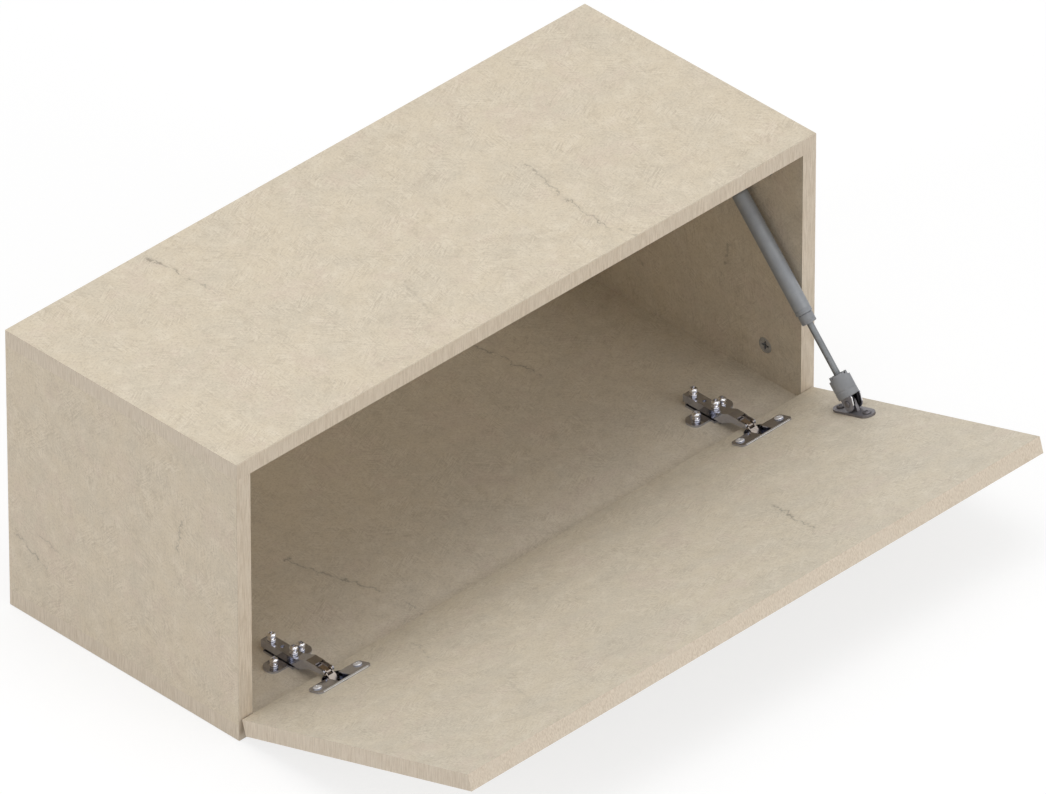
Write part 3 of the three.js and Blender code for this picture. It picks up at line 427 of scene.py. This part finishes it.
def metal(name, colour, dull, rough, scratch=0.15):
    """Plated or bare metal: cloudy tone, fine scratches in two directions and smudged gloss."""
    shader = Shader(name, metallic=1.0)
    cloud = shader.noise(120, 4, 0.6)
    fine = shader.noise(1.0, 3, 0.6, at=shader.stretched((0.3, 0.2, 0.5), (2600, 260, 2600)))
    cross = shader.noise(1.0, 3, 0.6, at=shader.stretched((0.9, 1.3, 2.1), (2400, 300, 2400)))
    lines = shader.math("MAXIMUM", shader.span(fine, 0.58, 0.72), shader.span(cross, 0.6, 0.74))
    tone = shader.mix(shader.span(cloud, 0.38, 0.66), colour, dull)
    # Edges that stand out are lightened: partly wear, partly painted highlight.
    tone = shader.mix(shader.edge_wear_and_highlight(0.5, 0.56, 0.5), tone, scaled(colour, 1.5))
    shader.colour(shader.mix(shader.math("MULTIPLY", lines, scratch), tone, scaled(colour, 0.6)))
    gloss = shader.span(cloud, 0.3, 0.7, *rough)
    shader.roughness(shader.math("ADD", gloss, shader.math("MULTIPLY", lines, 0.08)))
    shader.bump(lines, 0.06, 0.00005)
    return shader.material


def grainy(name, colour, shade, rough, metallic=0.0, scale=1500, depth=0.12):
    """Painted or moulded surface: fine orange-peel grain, cloudy tone and lightened edges, partly rubbed wear
    and partly painted highlight.
    """
    shader = Shader(name, metallic=metallic)
    cloud = shader.noise(70, 4, 0.6)
    tone = shader.mix(shader.span(cloud, 0.35, 0.68), colour, shade)
    # Edges that stand out are lightened: partly wear, partly painted highlight.
    tone = shader.mix(shader.edge_wear_and_highlight(0.51, 0.57, 0.35), tone, scaled(colour, 1.35))
    specks = shader.span(shader.noise(800, 2, 0.6), 0.6, 0.75, 0.0, 0.25)
    shader.colour(shader.mix(specks, tone, scaled(shade, 0.75)))
    shader.roughness(shader.span(cloud, 0.3, 0.7, *rough))
    shader.bump(shader.noise(scale, 2, 0.5), depth, 0.0002)
    return shader.material


CHROME = metal("nickel_plate", rgb(176, 178, 188), rgb(146, 148, 160), (0.08, 0.2), scratch=0.25)
CHROME_DARK = metal("nickel_plate_links", rgb(170, 160, 152), rgb(142, 134, 128), (0.12, 0.24))
SCREW = metal("nickel_screw", rgb(232, 231, 234), rgb(208, 207, 212), (0.12, 0.26))
# Near-black for blocks in the fork's hollow: painted shadow.
SHADOW_BLACK = metal("painted_shadow_black", rgb(34, 33, 36), rgb(24, 24, 27), (0.3, 0.44))
# Zinc screws near white and only partly metallic, so they show as bright as the reflections on them: painted
# sheen on real zinc.
ZINC_WITH_SHEEN = grainy(
    "zinc_screw_painted_sheen", rgb(240, 240, 242), rgb(224, 224, 228), (0.22, 0.36), metallic=0.4, scale=2400, depth=0.05)
# Near-white for thin strips laid on edges: painted highlight standing in for bright reflections.
HIGHLIGHT_WHITE = grainy(
    "painted_highlight_white", rgb(248, 248, 250), rgb(236, 236, 239), (0.25, 0.4), metallic=0.25, scale=2400, depth=0.05)
CAST = grainy(
    "zinc_casting", rgb(176, 177, 180), rgb(146, 147, 150), (0.26, 0.4), metallic=0.7, scale=1200, depth=0.1)
ROD = grainy(
    "rod_steel", rgb(134, 137, 140), rgb(122, 125, 128), (0.34, 0.46), metallic=0.55, scale=2400, depth=0.05)
DARK_STEEL = grainy(
    "dark_steel", rgb(126, 123, 126), rgb(106, 103, 107), (0.36, 0.5), metallic=0.6, scale=1800, depth=0.06)
CHEEK = grainy(
    "cheek_steel", rgb(146, 146, 156), rgb(128, 128, 138), (0.34, 0.46),
    metallic=0.55, scale=1800, depth=0.06)
TUBE_PAINT = grainy("strut_paint", rgb(147, 150, 154), rgb(139, 142, 147), (0.42, 0.56), metallic=0.15)
SOCKET_PLASTIC = grainy("strut_plastic", rgb(142, 144, 148), rgb(133, 135, 139), (0.5, 0.64), scale=1100)
NYLON = grainy("nylon", rgb(205, 203, 198), rgb(190, 188, 182), (0.45, 0.6), scale=900)

# The finish of each slot that the CAD nodes come with; the boards have their own.
FINISH = {
    "backboard": backboard(),
    "chrome": CHROME,
    "zinc": ZINC_WITH_SHEEN,
    "strut_paint": TUBE_PAINT,
    "strut_plastic": SOCKET_PLASTIC,
    "rod_steel": ROD,
    "dark_steel": DARK_STEEL,
    "nylon": NYLON,
}


def finish_of(name, slot_name):
    if name in LAMINATES:
        return LAMINATES[name]
    if name.endswith("_link"):
        return CHROME_DARK
    if name.startswith("cam_") and "bolt" not in name:
        return CAST
    return FINISH[slot_name]


for name, node in frame["nodes"].items():
    for slot in node.material_slots:
        finish = finish_of(name, slot.material.name)
        slot.link = "OBJECT"
        slot.material = finish


# ---- softened edges of the CAD nodes -------------------------------------------------------------

def soften(obj, width, segments=2, angle=50):
    bevel = obj.modifiers.new("edge", "BEVEL")
    bevel.width = width * MM
    bevel.segments = segments
    bevel.limit_method = "ANGLE"
    bevel.angle_limit = math.radians(angle)
    bevel.harden_normals = True
    bevel.use_clamp_overlap = True


for name in LAMINATES:
    soften(frame["nodes"][name], 0.35, angle=60)
for side in SIDES:
    soften(frame["nodes"][f"{side}_mounting_plate"], 0.35)
    soften(frame["nodes"][f"{side}_hinge_arm"], 0.3)
    soften(frame["nodes"][f"{side}_hinge_cup"], 0.7, segments=1)
    soften(frame["nodes"][f"{side}_wall_hanger"], 0.6, segments=3)
    for level in ("lower", "upper"):
        for end in ("front", "rear"):
            soften(frame["nodes"][f"cam_{side}_{level}_{end}"], 0.3)
for name in ("strut_flap_bracket", "strut_side_bracket"):
    soften(frame["nodes"][name], 0.4)


# ---- mesh helpers: shapes are drawn in millimetres in a piece's own frame --------------------------

def lathe(points, sides=64, closed=False):
    """Body turned about Z from (radius, height) points; a radius of 0 is one point on the axis."""
    shape = bmesh.new()
    angles = [2 * math.pi * index / sides for index in range(sides)]
    rings = []
    for radius, height in points:
        if radius == 0:
            rings.append([shape.verts.new((0, 0, height))])
        else:
            circle = [(radius * math.cos(angle), radius * math.sin(angle), height) for angle in angles]
            rings.append([shape.verts.new(place) for place in circle])
    for low, high in zip(rings, rings[1:] + rings[:1] if closed else rings[1:]):
        for index in range(sides):
            after = (index + 1) % sides
            corners = [low[index % len(low)], low[after % len(low)]]
            corners += [high[after % len(high)], high[index % len(high)]]
            shape.faces.new(list(dict.fromkeys(corners)))
    bmesh.ops.recalc_face_normals(shape, faces=shape.faces)
    return shape


def lifted(points, height):
    """(radius, height) points raised by a height."""
    return [(radius, height + own) for radius, own in points]


def extruded(outline, x0, x1):
    """Body between two X planes from a closed outline of (y, z) points."""
    shape = bmesh.new()
    near = [shape.verts.new((x0, y, z)) for y, z in outline]
    far = [shape.verts.new((x1, y, z)) for y, z in outline]
    shape.faces.new(near)
    shape.faces.new(far)
    for index in range(len(outline)):
        after = (index + 1) % len(outline)
        shape.faces.new((near[index], near[after], far[after], far[index]))
    bmesh.ops.recalc_face_normals(shape, faces=shape.faces)
    return shape


def slab(x0, x1, y0, y1, z0, z1, narrow=1.0):
    """Block between six planes, whose lower end is narrowed about its middle."""
    middle_x, middle_y = (x0 + x1) / 2, (y0 + y1) / 2
    shape = extruded([(y0, z0), (y1, z0), (y1, z1), (y0, z1)], x0, x1)
    for vert in shape.verts:
        if vert.co.z < (z0 + z1) / 2:
            vert.co.x = middle_x + (vert.co.x - middle_x) * narrow
            vert.co.y = middle_y + (vert.co.y - middle_y) * narrow
    return shape


def temporary(shape):
    data = bpy.data.meshes.new("temporary")
    shape.to_mesh(data)
    shape.free()
    obj = bpy.data.objects.new("temporary", data)
    bpy.context.collection.objects.link(obj)
    return obj


def cut_out(shape, *tools):
    """The shape with each of the tools cut out of it."""
    body = temporary(shape)
    cutters = [temporary(tool) for tool in tools]
    for cutter in cutters:
        cut = body.modifiers.new("cut", "BOOLEAN")
        cut.operation = "DIFFERENCE"
        cut.solver = "EXACT"
        cut.object = cutter
    result = bmesh.new()
    result.from_object(body, bpy.context.evaluated_depsgraph_get())
    for obj in (body, *cutters):
        bpy.data.meshes.remove(obj.data)
    return result


def together(*shapes):
    whole = shapes[0]
    for shape in shapes[1:]:
        data = bpy.data.meshes.new("part")
        shape.to_mesh(data)
        shape.free()
        whole.from_mesh(data)
        bpy.data.meshes.remove(data)
    return whole


def turned_to_x(shape, distance=0):
    """The shape with its Z axis laid along X, moved up by a distance."""
    shape.transform(Matrix.Translation((0, 0, distance)) @ Matrix.Rotation(math.pi / 2, 4, "Y"))
    return shape


def seat(origin, x_axis, z_axis):
    """Matrix from a piece's own frame in millimetres to the row frame in metres."""
    z_axis = Vector(z_axis).normalized()
    x_axis = Vector(x_axis).normalized()
    turn = Matrix((x_axis, z_axis.cross(x_axis), z_axis)).transposed().to_4x4()
    return Matrix.Translation(Vector(origin) * MM) @ turn @ Matrix.Scale(MM, 4)


def add(name, shape, where, material, body, node=None, edge=0.0):
    """A finished piece that rides on a body and may stand for a CAD node."""
    data = bpy.data.meshes.new(name)
    shape.to_mesh(data)
    shape.free()
    data.transform(where)
    data.shade_smooth()
    data.set_sharp_from_angle(angle=math.radians(32))
    data.materials.append(material)
    obj = bpy.data.objects.new(name, data)
    bpy.context.collection.objects.link(obj)
    if edge:
        soften(obj, edge, angle=32)
    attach(obj, body)
    if node:
        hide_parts(node)
    return obj


# ---- screws: their heads rest at height zero -------------------------------------------------------

PROUD_HEIGHT = 8.0
CROWN_HEIGHT = 1.8
WOOD_SCREW_LENGTH = 11
SEAT_GAP = 0.15


def cross_recess(top, reach, depth, narrow=1.0):
    """Two crossed bars that cut a recess for a cross-head driver, which may be narrower at its floor."""
    half = reach * 0.24
    low, high = top - depth, top + 1
    return [slab(-x, x, -y, y, low, high, narrow) for x, y in ((reach, half), (half, reach))]


def threaded(radius, length):
    """(radius, height) points of a shank with rounded thread turns, upwards from its tip."""
    root = radius * 0.78
    points = [(0, -length), (radius * 0.55, -length), (radius * 0.8, 0.7 - length)]
    height = 1.2 - length
    while height < SEAT_GAP - 2.2:
        points += [(radius, height), (radius, height + 0.25), (root, height + 0.7), (root, height + 1.1)]
        height += 1.5
    return points + [(radius, SEAT_GAP - 1), (radius, SEAT_GAP)]


def proud_screw(length):
    """Screw with a collar, a waist and a ball-like head."""
    collar = [(3.5, SEAT_GAP), (3.7, 0.4), (3.7, 1.25), (3.4, 1.6), (2.5, 1.85)]
    waist = [(2.2, 2.3), (2.2, 3.5), (2.6, 3.85)]
    ball = [(3.6, 4.05), (3.95, 4.45), (4.0, 5.0), (4.0, 5.7), (3.85, 6.3), (3.5, 6.95), (2.9, 7.5)]
    ball += [(2.0, 7.85), (1.0, 7.97), (0, PROUD_HEIGHT)]
    body = lathe(threaded(2.5, length) + collar + waist + ball, 48)
    return cut_out(body, *cross_recess(PROUD_HEIGHT, 2.3, 2.2))


def crown_screw():
    """Wood screw with a flat crowned head."""
    head = [(3.75, SEAT_GAP), (4.0, 0.35), (4.0, 0.7), (3.75, 0.98), (3.2, 1.3), (2.4, 1.56)]
    head += [(1.4, 1.74), (0, CROWN_HEIGHT)]
    body = lathe(threaded(2.0, WOOD_SCREW_LENGTH) + head, 48)
    return cut_out(body, *cross_recess(CROWN_HEIGHT, 2.4, 1.3, narrow=0.5))


def set_screw():
    """Small adjusting screw of a wall hanger, whose face lies just below height zero."""
    shank = [(0, -4), (1.6, -4), (1.6, -1.6)]
    head = [(2.1, -1.6), (2.3, -1.3), (2.3, -0.8), (2.0, -0.45), (1.0, -0.25), (0, -0.2)]
    return cut_out(lathe(shank + head, 40), *cross_recess(-0.2, 1.5, 1.1))


# ---- hinge screws and near-white lips on the cups, which are painted highlights --------------------

CUP_FLANGE_TOP = 1.8
CUP_SCREW_ALONG = 22
CUP_SCREW_SPACING = 48
PAINTED_LIP_LENGTH = 53.4
PAINTED_LIP_OUTLINE = [(-33.05, 0.6), (-33.05, 1.3), (-32.6, 1.86), (-32.1, 1.86), (-32.1, 1.2), (-32.6, 0.6)]


def add_standing_screw(name, slant):
    """One of the proud screws, with its cross turned by a slant, in place of its CAD node."""
    low, high = box(name)
    place = middle(name)
    place.z = high.z - PROUD_HEIGHT
    where = seat(place, (1, slant, 0), UP)
    add(f"{name}_head", proud_screw(place.z - low.z), where, SCREW, "carcass", name, 0.12)


for side, hinge_x in HINGE_X.items():
    for end, sign in (("outer", -1), ("inner", 1)):
        add_standing_screw(f"{side}_plate_screw_{end}", 0.4 * sign)
        name = f"{side}_cup_screw_{end}"
        place = FLAP_ORIGIN + ABOVE * CUP_FLANGE_TOP + ALONG * CUP_SCREW_ALONG
        place += RIGHT * (hinge_x + sign * CUP_SCREW_SPACING / 2)
        where = seat(place, RIGHT + ALONG * 0.3, ABOVE)
        add(f"{name}_head", crown_screw(), where, ZINC_WITH_SHEEN, "flap", name, 0.1)
    for use in ("fixing", "adjusting"):
        add_standing_screw(f"{side}_arm_{use}_screw", 0.7)
    # A thin near-white strip along each cup's flange edge: a painted highlight.
    painted_lip = extruded(PAINTED_LIP_OUTLINE, -PAINTED_LIP_LENGTH / 2, PAINTED_LIP_LENGTH / 2)
    where = seat(FLAP_ORIGIN + RIGHT * hinge_x, RIGHT, ABOVE)
    add(f"{side}_hinge_cup_highlight_lip", painted_lip, where, HIGHLIGHT_WHITE, "flap", edge=0.12)


# ---- screws of the strut's two plates --------------------------------------------------------------

FLAP_PLATE_TOP = 2.3
PLATE_SCREW_SPACING = 33

pivot_height = (STRUT_PIVOT - FLAP_ORIGIN).dot(ABOVE)
for index, sign in enumerate((-1, 1)):
    name = f"flap_bracket_screw_{index + 1}"
    place = STRUT_PIVOT - ABOVE * (pivot_height - FLAP_PLATE_TOP) + ALONG * sign * PLATE_SCREW_SPACING / 2
    where = seat(place, RIGHT, ABOVE)
    add(f"{name}_head", crown_screw(), where, DARK_STEEL, "flap", name, 0.1)
for index in range(2):
    name = f"side_bracket_screw_{index + 1}"
    place = middle(name)
    place.x = box(name)[0].x + CROWN_HEIGHT
    where = seat(place, BACK + UP * 0.2, -RIGHT)
    add(f"{name}_head", crown_screw(), where, DARK_STEEL, "carcass", name, 0.1)


# ---- gas strut, drawn along Z from its flap pivot, with the side away from the cabinet at -Y -------

STRUT = seat(STRUT_PIVOT, RIGHT, STRUT_AXIS)
GAP = 0.3
SOCKET_RADIUS = 10
SOCKET_BORE = 8.15
SOCKET_FLOOR = 9.7
SOCKET_RIM = 27
SOCKET_CROTCH = 5.4
SOCKET_NOTCH_TURN = -35.3
FORK_HALF = 6
FORK_RADIUS = 7.2
CHEEK_SHEET = 1.2
# Where the painted shadow blocks inside the fork lie.
SHADOW_BLOCK_SPAN = (1.9, 4.7)
STROKE = round(joint("strut_slide")["range_m"][1] / MM, 1)
END_BUFFER = 0.6
CAP_END = SOCKET_FLOOR + END_BUFFER + STROKE
CAP_LENGTH = 12
CAP_COLLAR = 9
CAP_RADIUS = 6.9
ROD_RADIUS = 3
ROD_START = 6.9
TUBE_RADIUS = 7.7
TUBE_BORE = 6.5
NECK_LENGTH = 15
TUBE_END = STRUT_LENGTH - NECK_LENGTH


def socket_barrel():
    """Round socket with a groove near its foot and a stepped, notched rim."""
    bowl = [(0, 6.6), (3.2, 6.6), (3.2, SOCKET_FLOOR), (SOCKET_BORE, SOCKET_FLOOR), (SOCKET_BORE, SOCKET_RIM)]
    rim = [(9.4, SOCKET_RIM), (9.85, 26.8), (SOCKET_RADIUS, 26.3)]
    groove = [(SOCKET_RADIUS, 12.6), (9.8, 12.3), (9.8, 11.7), (SOCKET_RADIUS, 11.4)]
    foot = [(SOCKET_RADIUS, 6.4), (9.75, 5.7), (9.2, SOCKET_CROTCH), (0, SOCKET_CROTCH)]
    step = (0, 23.4, 8.25, 7)
    slits = [(sign * 52, 25.2, 7, 0.8) for sign in (1, -1)]
    cuts = []
    for half_turn in (0, 180):
        for angle, low, near, half in (step, *slits):
            cut = slab(near, SOCKET_RADIUS + 2, -half, half, low, SOCKET_RIM + 2)
            cut.transform(Matrix.Rotation(math.radians(half_turn + angle + SOCKET_NOTCH_TURN), 4, "Z"))
            cuts.append(cut)
    return cut_out(lathe(bowl + rim + groove + foot, 72), *cuts)


def fork_outline(inset=0.0):
    """Outline of the fork's cheeks as (y, z) points, from the barrel down the front and round the pivot."""
    start = math.atan2(-3.2, -6.5)
    end = math.atan2(-3.98, 6.0)
    radius = FORK_RADIUS - inset
    arc = [start + (end - start) * step / 14 for step in range(15)]
    points = [(inset - 9.6, 5.8), (inset - 9.6, 3.6)]
    points += [(radius * math.cos(angle), radius * math.sin(angle)) for angle in arc]
    return points + [(6.0 - inset, 5.8)]


def fork_pair(outline, near, far):
    """Two mirrored plates between the distances near and far from the strut's middle, bored for the pin."""
    pair = together(extruded(outline, -far, -near), extruded(outline, near, far))
    bore = turned_to_x(lathe([(0, -8), (2.3, -8), (2.3, 8), (0, 8)], 32))
    return cut_out(pair, bore)


def fork_highlight_strips():
    """Near-white strips along the front of both cheeks: painted highlights on their cut edges."""
    outline = [(-9.75, 4.6), (-9.75, 3.5), (-6.7, -3.2), (-6.3, -3.0), (-9.2, 3.3), (-9.2, 4.6)]
    near, far = FORK_HALF - CHEEK_SHEET + 0.04, FORK_HALF - 0.02
    return together(extruded(outline, -far, -near), extruded(outline, near, far))


def riveted_pin():
    half = [(0, 7.5), (1.2, 7.45), (2.3, 7.2), (2.95, 6.85), (3.2, 6.5), (3.2, 6.3), (2.0, 6.3)]
    return turned_to_x(lathe(half + [(radius, -x) for radius, x in reversed(half)], 40))


def ground_rod():
    """The rod and its grooved piston, which starts just above the end cap."""
    foot = [(0, ROD_START), (2.6, ROD_START), (ROD_RADIUS, ROD_START + 0.4)]
    piston = [(ROD_RADIUS, 0), (5.9, 0), (6.2, 0.3), (6.2, 2.2), (5.6, 2.4)]
    piston += [(5.6, 3.6), (6.2, 3.8), (6.2, 5.7), (5.9, 6), (ROD_RADIUS, 6)]
    end = [(ROD_RADIUS, 8.6), (2.6, 9), (0, 9)]
    return lathe(foot + lifted(piston + end, CAP_END + CAP_LENGTH + GAP), 64)


def end_cap():
    """Ring round the rod with a grooved collar and a spigot inside the tube."""
    bore = ROD_RADIUS + GAP
    spigot = TUBE_BORE - GAP
    mouth = [(bore, 0.5), (3.7, 0), (6.2, 0), (6.7, 0.2), (CAP_RADIUS, 0.7)]
    groove = [(CAP_RADIUS, 2.5), (6.72, 2.65), (6.72, 2.95), (CAP_RADIUS, 3.1)]
    collar = [(CAP_RADIUS, CAP_COLLAR - 0.4), (6.65, CAP_COLLAR), (spigot, CAP_COLLAR)]
    inner = [(spigot, CAP_LENGTH - GAP), (bore, CAP_LENGTH - GAP)]
    return lathe(lifted(mouth + groove + collar + inner, CAP_END), 72, closed=True)


def painted_tube():
    """Tube with a rolled mouth, a crimped ring behind it and a rounded, closed end."""
    mouth = [(TUBE_BORE, 0), (7.0, 0), (7.45, 0.2), (7.66, 0.6), (TUBE_RADIUS, 1.2)]
    crimp = [(TUBE_RADIUS, 3.4), (7.62, 3.6), (7.45, 4.0), (7.45, 4.4), (7.62, 4.8), (TUBE_RADIUS, 5.0)]
    floor = [(0, -3), (TUBE_BORE, -3)]
    end = [(TUBE_RADIUS, -3.24), (7.6, -2.14), (7.2, -1.04), (6.5, -0.29), (5.5, 0), (0, 0)]
    start = CAP_END + CAP_COLLAR + GAP
    return lathe(lifted(floor, TUBE_END) + lifted(mouth + crimp, start) + lifted(end, TUBE_END), 72)


def upper_eye():
    """Neck on the tube's end and the round eye at the upper pivot."""
    own = STRUT_LENGTH - TUBE_END - GAP
    neck = [(0, 0), (5.6, 0), (5.95, 0.26), (6.0, 0.76), (6.0, 3.46), (5.7, 4.06)]
    neck += [(4.6, 6.16), (4.2, 7.16), (4.2, own), (0, own)]
    eye = [(0, -5), (6.2, -5), (6.75, -4.75), (7, -4.2), (7, 4.2), (6.75, 4.75), (6.2, 5)]
    eye += [(5.2, 5), (5.0, 4.6), (0, 4.6)]
    return together(lathe(lifted(neck, TUBE_END + GAP), 56), turned_to_x(lathe(eye, 56), STRUT_LENGTH))


def eye_button():
    """Bright rivet head on the eye's outer face."""
    rim = [(0, -4.6), (4, -4.6), (4, -5.9), (3.8, -6.25), (3.2, -6.4)]
    dimple = [(1.4, -6.4), (1.2, -6.1), (0, -6.1)]
    return turned_to_x(lathe(rim + dimple, 48), STRUT_LENGTH)


add("strut_socket_barrel", socket_barrel(), STRUT, SOCKET_PLASTIC, "strut_rod_end",
    "strut_end_socket", 0.15)
add("strut_socket_cheeks", fork_pair(fork_outline(), FORK_HALF - CHEEK_SHEET, FORK_HALF), STRUT, CHEEK,
    "strut_rod_end", edge=0.1)
# Black blocks inside the fork, inward of its cheeks: painted shadow in its hollow.
add("strut_socket_shadow_blocks", fork_pair(fork_outline(1.3), *SHADOW_BLOCK_SPAN), STRUT, SHADOW_BLACK, "strut_rod_end",
    edge=0.2)
# Near-white strips on the fork's front edges: painted highlights.
add("strut_socket_fork_edges", fork_highlight_strips(), STRUT, HIGHLIGHT_WHITE, "strut_rod_end", edge=0.08)
add("strut_pin_riveted", riveted_pin(), STRUT, DARK_STEEL, "strut_rod_end",
    "strut_pivot_pin", 0.1)
add("strut_rod_ground", ground_rod(), STRUT, ROD, "strut_rod_end", "strut_rod", 0.1)
add("strut_end_cap_turned", end_cap(), STRUT, SOCKET_PLASTIC, "strut_cylinder",
    "strut_end_cap", 0.12)
add("strut_tube_painted", painted_tube(), STRUT, TUBE_PAINT, "strut_cylinder",
    "strut_tube", 0.1)
add("strut_upper_eye", upper_eye(), STRUT, SOCKET_PLASTIC, "strut_cylinder",
    "strut_upper_socket", 0.15)
add("strut_eye_button", eye_button(), STRUT, ZINC_WITH_SHEEN, "strut_cylinder", edge=0.1)


# ---- adjusting screws of the wall hangers ----------------------------------------------------------

HANGER_SCREW_RISE = 13
HANGER_SCREW_PROUD = 0.9

for side in SIDES:
    for level, sign in (("lower", -1), ("upper", 1)):
        place = middle(f"{side}_wall_hanger") + UP * sign * HANGER_SCREW_RISE
        place.y = box(f"{side}_wall_hanger")[0].y - HANGER_SCREW_PROUD
        where = seat(place, (1, 0, 0.3), -BACK)
        add(f"{side}_hanger_screw_{level}", set_screw(), where, ZINC_WITH_SHEEN, "carcass", edge=0.08)


# ---- floor, light, camera: places in metres --------------------------------------------------------

FLOOR_HALF = 6.0
FLOOR_SHADE = 0.62
FLOOR_GLOW = 1.05
GLOW_SHARE = 0.7
SKY_LIGHT = 0.52
LENS = 691.2
VIEW_PLACE = (-9.9367, -10.2105, 10.1164)
VIEW_TILT = math.radians(54.736)
VIEW_TURN = math.radians(-45)


def show_white(tree, shaded, plain):
    """Mix that camera, glossy and transmission rays see as plain and all other rays as shaded."""
    path = tree.nodes.new("ShaderNodeLightPath")
    seen = path.outputs["Is Camera Ray"]
    for kind in ("Is Glossy Ray", "Is Transmission Ray"):
        either = tree.nodes.new("ShaderNodeMath")
        either.operation = "MAXIMUM"
        tree.links.new(seen, either.inputs[0])
        tree.links.new(path.outputs[kind], either.inputs[1])
        seen = either.outputs[0]
    mix = tree.nodes.new("ShaderNodeMixShader")
    tree.links.new(seen, mix.inputs[0])
    tree.links.new(shaded, mix.inputs[1])
    tree.links.new(plain, mix.inputs[2])
    return mix.outputs[0]


def floor():
    """White floor just under the cabinet, which glows enough to keep only a faint shadow."""
    mesh = bmesh.new()
    bmesh.ops.create_grid(mesh, x_segments=4, y_segments=4, size=FLOOR_HALF)
    data = bpy.data.meshes.new("floor")
    mesh.to_mesh(data)
    mesh.free()
    obj = bpy.data.objects.new("floor", data)
    bpy.context.collection.objects.link(obj)
    obj.location.z = -0.6 * MM
    material = bpy.data.materials.new("floor")
    material.use_nodes = True
    tree = material.node_tree
    tree.nodes.remove(tree.nodes["Principled BSDF"])
    dim = tree.nodes.new("ShaderNodeBsdfDiffuse")
    dim.inputs["Color"].default_value = (FLOOR_SHADE, FLOOR_SHADE, FLOOR_SHADE, 1)
    bright = tree.nodes.new("ShaderNodeBsdfDiffuse")
    bright.inputs["Color"].default_value = (1, 1, 1, 1)
    glow = tree.nodes.new("ShaderNodeEmission")
    glow.inputs["Strength"].default_value = FLOOR_GLOW
    pale = tree.nodes.new("ShaderNodeMixShader")
    pale.inputs[0].default_value = GLOW_SHARE
    tree.links.new(bright.outputs[0], pale.inputs[1])
    tree.links.new(glow.outputs[0], pale.inputs[2])
    out = show_white(tree, dim.outputs[0], pale.outputs[0])
    tree.links.new(out, tree.nodes["Material Output"].inputs["Surface"])
    data.materials.append(material)


def world():
    """Soft white light all round, which looks plain white in the picture."""
    sky = bpy.data.worlds.new("studio")
    bpy.context.scene.world = sky
    sky.use_nodes = True
    tree = sky.node_tree
    soft = tree.nodes["Background"]
    soft.inputs["Color"].default_value = (1, 1, 1, 1)
    soft.inputs["Strength"].default_value = SKY_LIGHT
    plain = tree.nodes.new("ShaderNodeBackground")
    plain.inputs["Color"].default_value = (1, 1, 1, 1)
    plain.inputs["Strength"].default_value = 1.0
    out = show_white(tree, soft.outputs[0], plain.outputs[0])
    tree.links.new(out, tree.nodes["World Output"].inputs["Surface"])


def lamp(name, place, aim, size, power):
    light = bpy.data.lights.new(name, "AREA")
    light.shape = "SQUARE"
    light.size = size
    light.energy = power
    obj = bpy.data.objects.new(name, light)
    bpy.context.collection.objects.link(obj)
    obj.location = place
    obj.rotation_euler = (Vector(aim) - Vector(place)).to_track_quat("-Z", "Y").to_euler()


def isometric_view():
    """Long lens from the front left and above, placed so that the corners meet those in the photo."""
    view = bpy.data.cameras.new("view")
    view.sensor_width = 36
    view.lens = LENS
    view.clip_start = 1
    view.clip_end = 100
    camera = bpy.data.objects.new("view", view)
    bpy.context.collection.objects.link(camera)
    camera.location = VIEW_PLACE
    camera.rotation_euler = (VIEW_TILT, 0, VIEW_TURN)
    return camera


floor()
world()
lamp("overhead", place=(0.1, -0.1, 4.2), aim=(0, -0.2, 0.2), size=3.0, power=63)
lamp("left_fill", place=(-4.9, 0.7, 2.0), aim=(0, -0.2, 0.15), size=2.2, power=49)
lamp("front_fill", place=(1.2, -5.0, 1.5), aim=(0, -0.2, 0.15), size=2.2, power=59)
bpy.context.scene.camera = isometric_view()
bpy.context.scene.view_settings.view_transform = "Standard"
